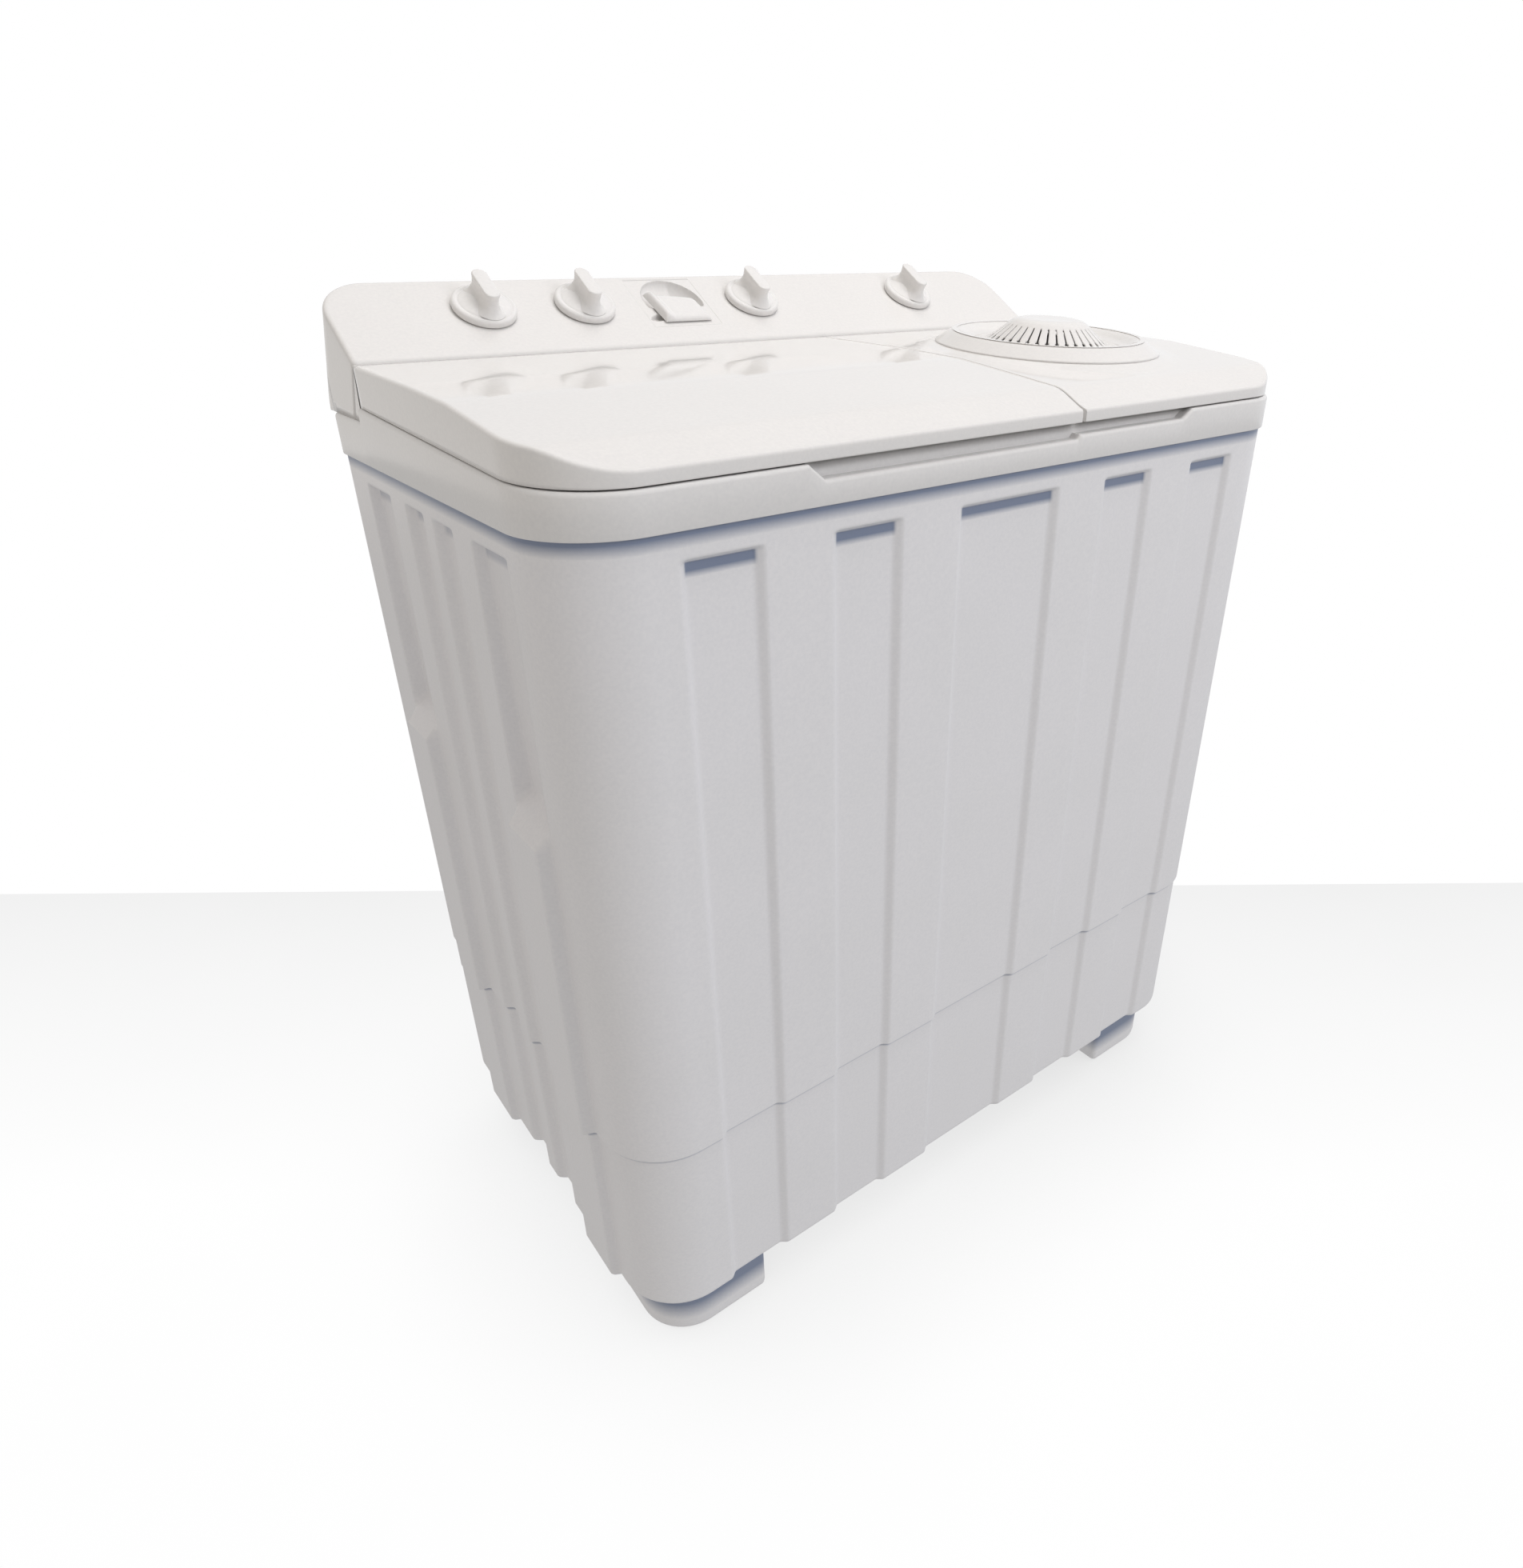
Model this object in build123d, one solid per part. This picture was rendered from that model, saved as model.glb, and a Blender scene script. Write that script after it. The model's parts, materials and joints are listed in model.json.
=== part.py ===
"""Twin tub washer: a wash tub with a pulsator on the left, a spin basket on the right, one casing.

Millimetres, +Z up, +X to the washer's right, -Y to its front. The origin is at the middle of the
footprint, on the floor. Each function makes one piece, and main() writes each piece to its own file.
"""

from build123d import *
import math
import os

os.makedirs("parts", exist_ok=True)

# ---- casing -------------------------------------------------------------------------------------
CABINET_W = 800.0
CABINET_D = 470.0
FOOT_H = 65.0
BASE_H = 198.0
CABINET_H = 541.0
CASE_WALL = 3.0
CORNER_FRONT = 65.0
CORNER_BACK = 28.0
SEAM_STEP = 2.5
JOINT_GAP = 0.3

BASE_TOP = FOOT_H + BASE_H
CABINET_TOP = BASE_TOP + CABINET_H
FRONT_Y = -CABINET_D / 2
BACK_Y = CABINET_D / 2
SIDE_X = CABINET_W / 2

# Pressed channels: centre and width along the wall, all as deep as the wall's own channel depth.
FRONT_CHANNELS = [(-279.0, 61.0), (-152.0, 61.0), (0.0, 111.0), (152.0, 61.0), (279.0, 61.0)]
FRONT_CHANNEL_DEPTH = 5.0
FLUTE_CENTRES = (-33.0, 33.0)
FLUTE_W = 37.0
FLUTE_DEPTH = 8.0
GRIP_CENTRES = (-127.0, 127.0)
GRIP_W = 60.0
GRIP_DEPTH = 14.0
GRIP_LEDGE_Z = 572.0
GRIP_LEDGE_DROP = 12.0
BOSS_OUT = 11.0
BASE_BOSS_OUT = 8.0
CHANNEL_TOP_DROP = 19.0

# ---- base floor, legs, pads ---------------------------------------------------------------------
FLOOR_Z = 95.0
FLOOR_T = 4.0
LEG_W = 117.0
LEG_D = 100.0
LEG_INSET = 17.0
LEG_CORNER = 50.0
PAD_H = 6.0
PAD_R = 16.0
PAD_GRIP = 3.0

# ---- top frame ----------------------------------------------------------------------------------
FRAME_OVERHANG = 3.0
FRAME_H = 30.0
FRAME_RISE = 0.046
FRAME_WALL = 4.0
DECK_T = 3.5
COLLAR_T = 3.0
SEAT_Y = 128.5
SEAT_SETBACK = 3.5
SEAT_Z = 839.0
NOTCH_LEFT = -194.0
NOTCH_STEP = 75.0
NOTCH_RIGHT = 219.0
NOTCH_LOW_DROP = 11.5
NOTCH_HIGH_DROP = 8.0
NOTCH_D = 12.0

# ---- lids ---------------------------------------------------------------------------------------
LID_SPLIT_X = 80.0
LID_GAP = 2.0
LID_OUT = 1.0
LID_T = 2.5
LID_LIFT = 2.0
LID_CORNER = 68.0
LID_SMALL_CORNER = 4.0
HINGE_Y = 122.3
HINGE_Z = 881.9
BEAD_R = 2.5
PIN_R = 1.25
PIN_LENGTH = 34.0
KNUCKLE_W = 10.0
KNUCKLE_R = 2.4
SIDE_GAP = 1.0
RUN_GAP = 0.05
LID_PROFILE = [(0.0, 842.0), (29.0, 860.0), (99.0, 869.5), (151.0, 876.0), (227.0, 880.0)]
VENT_X = 225.0
VENT_Y = -60.0
VENT_PAD_Z = 878.1
VENT_TILT = 4.4
VENT_HOLE_R = 88.0
VENT_RIM_R = 110.0
VENT_SLOTS = 36
VENT_SLOT_W = 2.6
VENT_PAD_T = 6.0

# ---- control box --------------------------------------------------------------------------------
PANEL_Y = 125.5
PANEL_Z = 884.0
PANEL_ANGLE = 32.0
PANEL_RUN = 113.0
PANEL_CORNER = 45.0
PANEL_WALL = 3.0
BOX_SPLIT_Y = 224.0
KNOB_S = 66.0
KNOB_R = 30.0
KNOB_SKIRT_H = 7.0
KNOB_H = 29.0
GRIP_L = 50.0
GRIP_T = 14.0
KNOB_LIFT = 1.0
STEM_R = 3.0
STEM_PANEL_GAP = 1.0
STEM_FIT = 0.02
HOUSING_W = 50.0
HOUSING_DEEP = 30.0
CONTROLS = {"wash_timer": -264.0, "wash_selector": -165.0, "drain_selector": 27.0, "spin_timer": 248.0}
BOWL_X = -68.0
BOWL_S = 67.0
BOWL_W = 76.0
BOWL_L = 74.0
BOWL_DEEP = 16.0
BOWL_DOME_R = 30.0
LEVER_W = 54.0
LEVER_L = 34.0
LEVER_T = 4.0
LEVER_BLADE_H = 9.0
LEVER_PIN_R = 4.0
LEVER_S = 50.0
CHUTE_W = 34.0
CHUTE_H = 18.0
CHUTE_Z = 853.0
CHUTE_T = 2.0
CHUTE_BACK_Y = 206.0
CHUTE_TIP_Y = 98.0
SPOUT_XS = (-60.0, 150.0)

# ---- wash side ----------------------------------------------------------------------------------
WASH_X = -156.0
WASH_Y = -49.0
WASH_W = 432.0
WASH_D = 322.0
WASH_FLOOR_Z = 350.0
TUB_WALL = 2.5
TUB_CORNER = 70.0
TUB_FLANGE = 6.0
TUB_FLANGE_T = 3.0
MOUTH_INSET = 8.0
PULSATOR_R = 146.0
PULSATOR_H = 12.0
PULSATOR_LIFT = 3.0
VANE_H = 26.0
VANE_COUNT = 6
WASH_SHAFT_R = 8.0
GEARBOX_R = 62.0
GEARBOX_H = 70.0
GEARBOX_FLANGE_R = 82.0
GEARBOX_FLANGE_T = 5.0
PULLEY_Z = 215.0
PULLEY_T = 18.0
DRIVEN_R = 90.0
DRIVER_R = 28.0
GROOVE = 8.0
BELT_T = 7.0
WASH_MOTOR_X = 12.0
WASH_MOTOR_Y = 32.0
WASH_MOTOR_R = 62.0
WASH_MOTOR_H = 88.0
MOTOR_SHAFT_R = 6.0
BRACKET_T = 3.0
BRACKET_POST_H = 12.0
FILTER_W = 112.0
FILTER_H = 190.0
FILTER_T = 18.0
FILTER_Z = 500.0
GRID_W = 64.0
GRID_H = 330.0
GRID_T = 6.0

# ---- spin side ----------------------------------------------------------------------------------
SPIN_X = 230.0
SPIN_Y = -50.0
SPIN_CASE = 300.0
SPIN_CASE_CORNER = 95.0
SPIN_FLOOR_Z = 392.0
BASKET_R = 122.0
BASKET_WALL = 1.6
BASKET_Z = 416.0
BASKET_TOP = 762.0
BASKET_HOLE_R = 3.5
BASKET_HOLE_ROWS = 4
BASKET_HOLES = 14
BASKET_RIM = 5.0
HUB_R = 26.0
HUB_H = 34.0
SPIN_SHAFT_R = 8.0
BOOT_R = 42.0
BOOT_NECK_R = 15.0
BOOT_H = 16.0
BOOT_SEAT = 8.0
DRUM_R = 55.0
DRUM_T = 20.0
DRUM_Z = 334.0
SPIN_MOTOR_R = 66.0
SPIN_MOTOR_Z = 190.0
SPIN_MOTOR_H = 128.0
MOTOR_PLATE_R = 98.0
MOTOR_PLATE_T = 6.0
BUFFER_R = 15.0
BUFFER_AT = 76.0
BRAKE_ARM_X = 72.0
BRAKE_PIVOT_Y = 58.0
BRAKE_ARM_L = 128.0
BRAKE_ARM_W = 12.0
BRAKE_ARM_T = 6.0
BRAKE_GAP = 6.0
BRAKE_PIN_R = 4.0
PRESS_R = 104.0
PRESS_T = 6.0

# ---- drain and electrics ------------------------------------------------------------------------
VALVE_X = 40.0
VALVE_Y = 176.0
VALVE_R = 30.0
VALVE_Z = 340.0
VALVE_H = 100.0
VALVE_WALL = 3.0
PORT_R = 15.0
WASH_PORT_Z = 372.0
SPIN_PORT_X = 122.0
SPIN_PORT_Z = 414.0
SPOUT_R = 15.0
SPOUT_WALL = 2.5
SPOUT_Z = 150.0
DRAIN_BEND = 24.0
BUNG_R = 22.0
BUNG_H = 20.0
SEAT_BORE_R = 13.0
LIFT_ROD_R = 3.0
LIFT_ROD_TOP = 852.0
CAPACITOR_R = 18.0
CAPACITOR_H = 62.0
CAPACITOR_XS = (120.0, 172.0)
CAPACITOR_Y = 165.0
COVER_W = 480.0
COVER_LOW = 110.0
COVER_HIGH = 450.0
COVER_T = 0.8
COVER_LAP = 16.0
SCREW_R = 2.0
SCREW_HEAD_R = 4.0
SCREW_HEAD_T = 2.0
SCREW_L = 6.0
GLAND_X = 330.0
GLAND_Z = 150.0
GLAND_R = 9.0
GLAND_FLANGE_R = 13.0

TOP_SPAN = 120.0
PANEL = Plane(
    origin=(0, PANEL_Y, PANEL_Z),
    x_dir=(1, 0, 0),
    z_dir=(0, -math.sin(math.radians(PANEL_ANGLE)), math.cos(math.radians(PANEL_ANGLE))),
)
VENT = Plane(
    origin=(VENT_X, VENT_Y, VENT_PAD_Z),
    x_dir=(1, 0, 0),
    z_dir=(0, -math.sin(math.radians(VENT_TILT)), math.cos(math.radians(VENT_TILT))),
)


# ---- building blocks ----------------------------------------------------------------------------
def plan(width, depth, front_r, back_r):
    """A rectangle about the origin with its own radius on the two front and the two back corners."""
    face = Rectangle(width, depth)
    face = fillet(face.vertices().sort_by(Axis.Y)[:2], front_r)
    return fillet(face.vertices().sort_by(Axis.Y)[-2:], back_r)


def prism(width, depth, low, high, front_r, back_r, at=(0.0, 0.0)):
    """The plan above, raised from one height to another."""
    return Pos(at[0], at[1], low) * extrude(plan(width, depth, front_r, back_r), high - low)


def block(x0, x1, y0, y1, z0, z1):
    """A box between two corners."""
    corner = (Align.MIN, Align.MIN, Align.MIN)
    return Pos(x0, y0, z0) * Box(x1 - x0, y1 - y0, z1 - z0, align=corner)


def along_x(points, x0, x1):
    """A (y, z) outline carried from x0 to x1."""
    face = make_face(Polyline(*points, close=True))
    return extrude(Plane.YZ.offset(x0) * face, x1 - x0)


def along_y(points, y0, y1):
    """An (x, z) outline carried from y0 to y1."""
    face = make_face(Polyline(*points, close=True))
    return extrude(Plane.XZ.offset(-y0) * face, y0 - y1)


def drum(x, y, low, high, radius, bore=0.0):
    """An upright cylinder, with a bore through it if one is given."""
    bottom = (Align.CENTER, Align.CENTER, Align.MIN)
    shape = Pos(x, y, low) * Cylinder(radius, high - low, align=bottom)
    if bore > 0:
        shape -= Pos(x, y, low - 1) * Cylinder(bore, high - low + 2, align=bottom)
    return shape


def rod_x(x0, x1, y, z, radius):
    """A cylinder lying along X."""
    return Pos((x0 + x1) / 2, y, z) * Rot(0, 90, 0) * Cylinder(radius, x1 - x0)


def rod_y(x, y0, y1, z, radius):
    """A cylinder lying along Y."""
    return Pos(x, (y0 + y1) / 2, z) * Rot(90, 0, 0) * Cylinder(radius, y1 - y0)


def turned(points, x=0.0, y=0.0, z=0.0):
    """An (r, z) outline turned about an upright axis."""
    face = make_face(Polyline(*points, close=True))
    return Pos(x, y, z) * revolve(Plane.XZ * face, Axis.Z)


def bent_rod(points, bend, radius):
    """A round rod along straight runs joined by bends of one radius."""
    path = FilletPolyline(*points, radius=bend)
    return sweep(Plane(origin=path @ 0, z_dir=path % 0) * Circle(radius), path=path)


def pipe(points, bend, radius, bore):
    """A round pipe along straight runs joined by bends of one radius."""
    return bent_rod(points, bend, radius) - bent_rod(points, bend, bore)


def on_panel(x, s, h):
    """A place on the control panel: across, up the slope, and out from its face."""
    return PANEL * Pos(x, s, h)


def both_sides(shape):
    """The shape and its mirror image on the other side of the washer."""
    return shape + mirror(shape, about=Plane.YZ)


# ---- casing -------------------------------------------------------------------------------------
def side_relief(face_x, low, inward):
    """What the left wall's flutes and hand grips take from it, pushed in by the wall if inward."""
    top = CABINET_TOP - CHANNEL_TOP_DROP + inward
    cuts = Part()
    for centre in FLUTE_CENTRES:
        half = FLUTE_W / 2 + inward
        cuts += block(face_x - 1, face_x + FLUTE_DEPTH + inward, centre - half, centre + half, low, top)
    return cuts


def grip_relief(face_x, inward):
    """The left wall's two hand grips: each deepens downwards to a sloped ledge."""
    top = CABINET_TOP - CHANNEL_TOP_DROP + inward
    shallow = face_x + FLUTE_DEPTH + inward
    deep = face_x + GRIP_DEPTH + inward
    outer = face_x - 1
    ledge = GRIP_LEDGE_Z - inward
    outline = [(outer, top), (shallow, top), (deep, ledge + GRIP_LEDGE_DROP), (outer, ledge)]
    half = GRIP_W / 2 + inward
    cuts = Part()
    for centre in GRIP_CENTRES:
        cuts += along_y(outline, centre - half, centre + half)
    return cuts


def side_bosses(face_x, out, low, high, slope, inset):
    """The proud strips below the left wall's hand grips, smaller by the wall if inset."""
    outer = face_x - out + inset
    inner = face_x + CASE_WALL + inset
    outline = [(inner, high - inset), (face_x, high - inset), (outer, high - slope - inset)]
    outline += [(outer, low), (inner, low)]
    half = GRIP_W / 2 - inset
    strips = Part()
    for centre in GRIP_CENTRES:
        strips += along_y(outline, centre - half, centre + half)
    return strips


def front_relief(face_y, low, high, inward):
    """What the front wall's channels take from it."""
    cuts = Part()
    for centre, width in FRONT_CHANNELS:
        half = width / 2 + inward
        deep = face_y + FRONT_CHANNEL_DEPTH + inward
        cuts += block(centre - half, centre + half, face_y - 1, deep, low, high + inward)
    return cuts


def service_opening():
    """The hole in the back of cabinet and base behind the rear cover."""
    half = COVER_W / 2 - COVER_LAP
    return block(-half, half, BACK_Y - 12, BACK_Y + 1, COVER_LOW + COVER_LAP, COVER_HIGH - COVER_LAP)


def screw_places():
    """(x, z) of the eight rear cover screws."""
    side = COVER_W / 2 - COVER_LAP / 2
    heights = [BASE_TOP + COVER_LAP, (BASE_TOP + COVER_HIGH) / 2, COVER_HIGH - COVER_LAP / 2]
    places = [(sign * side, z) for sign in (-1, 1) for z in heights]
    return places + [(sign * side / 2, COVER_HIGH - COVER_LAP / 2) for sign in (-1, 1)]


def cabinet():
    """The cabinet's four walls, open at top and bottom."""
    low, high = BASE_TOP + JOINT_GAP, CABINET_TOP
    top = CABINET_TOP - CHANNEL_TOP_DROP
    wall = CASE_WALL
    outer = prism(CABINET_W, CABINET_D, low, high, CORNER_FRONT, CORNER_BACK)
    outer -= front_relief(FRONT_Y, low - 1, top, 0)
    outer -= both_sides(side_relief(-SIDE_X, low - 1, 0) + grip_relief(-SIDE_X, 0))
    outer += both_sides(side_bosses(-SIDE_X, BOSS_OUT, low, GRIP_LEDGE_Z, GRIP_LEDGE_DROP, 0))
    room = prism(
        CABINET_W - 2 * wall, CABINET_D - 2 * wall, low - 1, high + 1, CORNER_FRONT - wall, CORNER_BACK - wall
    )
    room -= front_relief(FRONT_Y, low - 2, top, wall)
    room -= both_sides(side_relief(-SIDE_X, low - 2, wall) + grip_relief(-SIDE_X, wall))
    room += both_sides(side_bosses(-SIDE_X, BOSS_OUT, low - 1, GRIP_LEDGE_Z, GRIP_LEDGE_DROP, wall))
    shape = outer - room - service_opening()
    for x, z in screw_places():
        shape -= rod_y(x, BACK_Y - 10, BACK_Y + 1, z, SCREW_R + STEM_FIT)
    return shape


def leg_centres():
    """Middle of each leg in plan, from front left anticlockwise."""
    x = SIDE_X - SEAM_STEP - LEG_INSET - LEG_W / 2
    y = BACK_Y - SEAM_STEP - LEG_INSET - LEG_D / 2
    return [(-x, -y), (x, -y), (x, y), (-x, y)]


def leg(x, y, inset, low, high):
    """One leg, round on its outer corner; inset makes the hollow inside it."""
    face = Rectangle(LEG_W - 2 * inset, LEG_D - 2 * inset)
    outer_corner = face.vertices().sort_by(Axis.X)[-2:].sort_by(Axis.Y)[-1]
    face = fillet(outer_corner, LEG_CORNER - inset)
    shape = extrude(face, high - low)
    if x < 0:
        shape = mirror(shape, about=Plane.YZ)
    if y < 0:
        shape = mirror(shape, about=Plane.XZ)
    return Pos(x, y, low) * shape


def base():
    """The skirt under the cabinet, its floor and its four hollow legs, in one moulding."""
    wall = CASE_WALL
    width, depth = CABINET_W - 2 * SEAM_STEP, CABINET_D - 2 * SEAM_STEP
    face_x, face_y = -width / 2, -depth / 2
    radii = (CORNER_FRONT - SEAM_STEP, CORNER_BACK - SEAM_STEP)
    outer = prism(width, depth, FOOT_H, BASE_TOP, *radii)
    outer -= front_relief(face_y, FOOT_H - 1, BASE_TOP + 1, 0)
    outer -= both_sides(side_relief(face_x, FOOT_H - 1, 0))
    outer += both_sides(side_bosses(face_x, BASE_BOSS_OUT, FOOT_H, BASE_TOP, 0, 0))
    room = prism(
        width - 2 * wall, depth - 2 * wall, FOOT_H - 1, BASE_TOP + 1, radii[0] - wall, radii[1] - wall
    )
    room -= front_relief(face_y, FOOT_H - 2, BASE_TOP + 2, wall)
    room -= both_sides(side_relief(face_x, FOOT_H - 2, wall))
    room += both_sides(side_bosses(face_x, BASE_BOSS_OUT, FOOT_H - 1, BASE_TOP + 1 + wall, 0, wall))
    floor = room & block(-SIDE_X, SIDE_X, FRONT_Y, BACK_Y, FLOOR_Z, FLOOR_Z + FLOOR_T)
    shape = outer - room + floor
    for x, y in leg_centres():
        shape += leg(x, y, 0, PAD_H - PAD_GRIP, FLOOR_Z + FLOOR_T)
    for x, y in leg_centres():
        shape -= leg(x, y, wall, PAD_H, FLOOR_Z)
        shape -= drum(x, y, PAD_H - PAD_GRIP - 1, PAD_H - PAD_GRIP + 1.5, PAD_R + JOINT_GAP)
    shape -= service_opening()
    shape -= rod_y(GLAND_X, BACK_Y - 15, BACK_Y + 1, GLAND_Z, GLAND_R + STEM_FIT)
    shape -= rod_y(VALVE_X, BACK_Y - 15, BACK_Y + 1, SPOUT_Z, SPOUT_R + STEM_FIT)
    return shape


def foot_pad(x, y):
    """A round rubber pad let into the sole of a leg."""
    return drum(x, y, 0, PAD_H - PAD_GRIP + 1.5, PAD_R)


def rear_cover():
    """The sheet metal cover over the service opening, with louvre slots and screw holes."""
    shape = block(-COVER_W / 2, COVER_W / 2, BACK_Y, BACK_Y + COVER_T, COVER_LOW, COVER_HIGH)
    for x, z in screw_places():
        shape -= rod_y(x, BACK_Y - 1, BACK_Y + COVER_T + 1, z, SCREW_R + STEM_FIT)
    for row in range(6):
        for column in (-1, 0, 1):
            z = COVER_LOW + 60 + 14 * row
            shape -= block(column * 110 - 40, column * 110 + 40, BACK_Y - 1, BACK_Y + 2, z, z + 4)
    shape -= rod_y(VALVE_X, BACK_Y - 1, BACK_Y + 2, SPOUT_Z, SPOUT_R + JOINT_GAP)
    return shape


def casing_screws():
    """The eight screws of the rear cover."""
    shape = Part()
    face = BACK_Y + COVER_T
    for x, z in screw_places():
        shape += rod_y(x, face, face + SCREW_HEAD_T, z, SCREW_HEAD_R) + rod_y(
            x, face - SCREW_L, face, z, SCREW_R
        )
    return shape


def cord_gland():
    """The rubber gland in the back of the base where a mains lead leaves."""
    wall_y = BACK_Y - SEAM_STEP
    shape = rod_y(GLAND_X, wall_y, wall_y + 3, GLAND_Z, GLAND_FLANGE_R)
    shape += rod_y(GLAND_X, wall_y - 12, wall_y, GLAND_Z, GLAND_R)
    shape -= rod_y(GLAND_X, wall_y - 13, wall_y + 4, GLAND_Z, GLAND_R / 2)
    return shape


# ---- top frame ----------------------------------------------------------------------------------
def deck_z(y):
    """Height of the frame's sloped top at a depth y."""
    return CABINET_TOP + FRAME_H + FRAME_RISE * (y - FRONT_Y)


def under_deck(drop):
    """The room under the frame's top, lowered by drop."""
    reach = CABINET_D
    low = CABINET_TOP - 1
    outline = [(-reach, low), (-reach, deck_z(-reach) - drop), (SEAT_Y, deck_z(SEAT_Y) - drop)]
    outline += [(SEAT_Y, SEAT_Z - drop), (reach, SEAT_Z - drop), (reach, low)]
    return along_x(outline, -SIDE_X * 1.2, SIDE_X * 1.2)


def wash_mouth(grow, low, high):
    """The wash opening's prism, wider all round by grow."""
    width, depth = WASH_W - 2 * MOUTH_INSET + 2 * grow, WASH_D - 2 * MOUTH_INSET + 2 * grow
    radius = TUB_CORNER - MOUTH_INSET + grow
    return prism(width, depth, low, high, radius, radius, (WASH_X, WASH_Y))


def spin_mouth(grow, low, high):
    """The spin opening's prism, wider all round by grow."""
    side = SPIN_CASE - 2 * MOUTH_INSET + 2 * grow
    radius = SPIN_CASE_CORNER - MOUTH_INSET + grow
    return prism(side, side, low, high, radius, radius, (SPIN_X, SPIN_Y))


def finger_notch():
    """The stepped notch in the frame's front edge, for lifting the lids."""
    front = FRONT_Y - FRAME_OVERHANG
    top = deck_z(FRONT_Y)
    low, high = top - NOTCH_LOW_DROP, top - NOTCH_HIGH_DROP
    slant = 14.0
    outline = [(NOTCH_LEFT - slant, top + 5), (NOTCH_LEFT, low), (NOTCH_STEP - 2, low), (NOTCH_STEP + 2, high)]
    outline += [(NOTCH_RIGHT, high), (NOTCH_RIGHT + slant, top + 5)]
    return along_y(outline, front - 1, front + NOTCH_D)


def top_frame():
    """The band, deck and tub collars over the cabinet, in one moulding."""
    low, high = CABINET_TOP, CABINET_TOP + TOP_SPAN
    width, depth = CABINET_W + 2 * FRAME_OVERHANG, CABINET_D + 2 * FRAME_OVERHANG
    radii = (CORNER_FRONT + FRAME_OVERHANG, CORNER_BACK + FRAME_OVERHANG)
    wall = FRAME_WALL + FRAME_OVERHANG
    shape = prism(width, depth, low, high, *radii) & under_deck(0)
    room = prism(width - 2 * wall, depth - 2 * wall, low - 1, high, radii[0] - wall, radii[1] - wall)
    shape -= room & under_deck(DECK_T)
    front = FRONT_Y - FRAME_OVERHANG
    top = deck_z(FRONT_Y)
    sill = block(
        NOTCH_LEFT - 20, NOTCH_RIGHT + 20, front + 1, front + NOTCH_D + 3, top - NOTCH_LOW_DROP - 3, top - 1
    )
    shape += sill
    shape += (wash_mouth(COLLAR_T, low, high) + spin_mouth(COLLAR_T, low, high)) & under_deck(1)
    shape -= wash_mouth(0, low - 1, high) + spin_mouth(0, low - 1, high) + finger_notch()
    shape -= drum(VALVE_X, VALVE_Y, low, high, LIFT_ROD_R + 4)
    return shape


# ---- lids ---------------------------------------------------------------------------------------
def lid_outline(drop, low):
    """A lid's (y, z) outline: its crowned top, less drop all over, down to the low line."""
    front = FRONT_Y - LID_OUT + drop
    top = [(front + y, z - drop) for y, z in LID_PROFILE] + [(HINGE_Y, HINGE_Z + BEAD_R - drop)]
    return [(front, low(front)), *top, (HINGE_Y, low(HINGE_Y))]


def lid_plan(x0, x1, inset, round_left):
    """A lid's plan, raised as high as any lid: only its outer front corner is large."""
    front, back = FRONT_Y - LID_OUT + inset, HINGE_Y + BEAD_R + (1 if inset else 0)
    face = Rectangle(x1 - x0 - 2 * inset, back - front)
    corners = face.vertices().sort_by(Axis.Y)[:2].sort_by(Axis.X)
    large, small = (corners[0], corners[-1]) if round_left else (corners[-1], corners[0])
    face = fillet(large, LID_CORNER - inset)
    if not inset:
        nearest = face.vertices().sort_by_distance((small.X, small.Y, 0))[0]
        face = fillet(nearest, LID_SMALL_CORNER)
    place = Pos((x0 + x1) / 2, (front + back) / 2, CABINET_TOP)
    return place * extrude(face, TOP_SPAN)


def lid_seat(y):
    """Height of a lid's lower edge at a depth y."""
    return deck_z(y) + LID_LIFT


def knuckle_xs(x0, x1):
    """Middle of each of a lid's two hinge knuckles."""
    return (x0 + 60.0, x1 - 60.0)


def lid(x0, x1, round_left):
    """A lid: crowned top with skirts at front and sides, a hinge bead along its back edge."""
    shape = along_x(lid_outline(0, lid_seat), x0, x1) & lid_plan(x0, x1, 0, round_left)
    room = along_x(lid_outline(LID_T, lambda y: CABINET_TOP), x0, x1)
    room += block(x0, x1, HINGE_Y - 1, HINGE_Y + 9, CABINET_TOP, HINGE_Z + BEAD_R - LID_T)
    shape -= room & lid_plan(x0, x1, LID_T, round_left)
    shape += rod_x(x0 + LID_T, x1 - LID_T, HINGE_Y, HINGE_Z, BEAD_R)
    reach = BEAD_R + SIDE_GAP
    for x in knuckle_xs(x0, x1):
        half = KNUCKLE_W / 2 + SIDE_GAP
        shape -= block(x - half, x + half, HINGE_Y - reach, HINGE_Y + 9, HINGE_Z - 9, HINGE_Z + 9)
        shape -= rod_x(x - PIN_LENGTH / 2, x + PIN_LENGTH / 2, HINGE_Y, HINGE_Z, PIN_R + STEM_FIT)
    return shape


def lid_pins(x0, x1):
    """The two steel hinge pins of a lid."""
    shape = Part()
    for x in knuckle_xs(x0, x1):
        shape += rod_x(x - PIN_LENGTH / 2, x + PIN_LENGTH / 2, HINGE_Y, HINGE_Z, PIN_R)
    return shape


WASH_LID_X = (-SIDE_X - LID_OUT, LID_SPLIT_X - LID_GAP / 2)
SPIN_LID_X = (LID_SPLIT_X + LID_GAP / 2, SIDE_X + LID_OUT)


def spin_lid():
    """The spin lid, with a flat ring and a hole for its vent grille."""
    shape = lid(*SPIN_LID_X, False)
    bottom = (Align.CENTER, Align.CENTER, Align.MAX)
    shape += VENT * Cylinder(VENT_RIM_R + 2, VENT_PAD_T, align=bottom)
    return shape - VENT * Cylinder(VENT_HOLE_R, 60)


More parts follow.
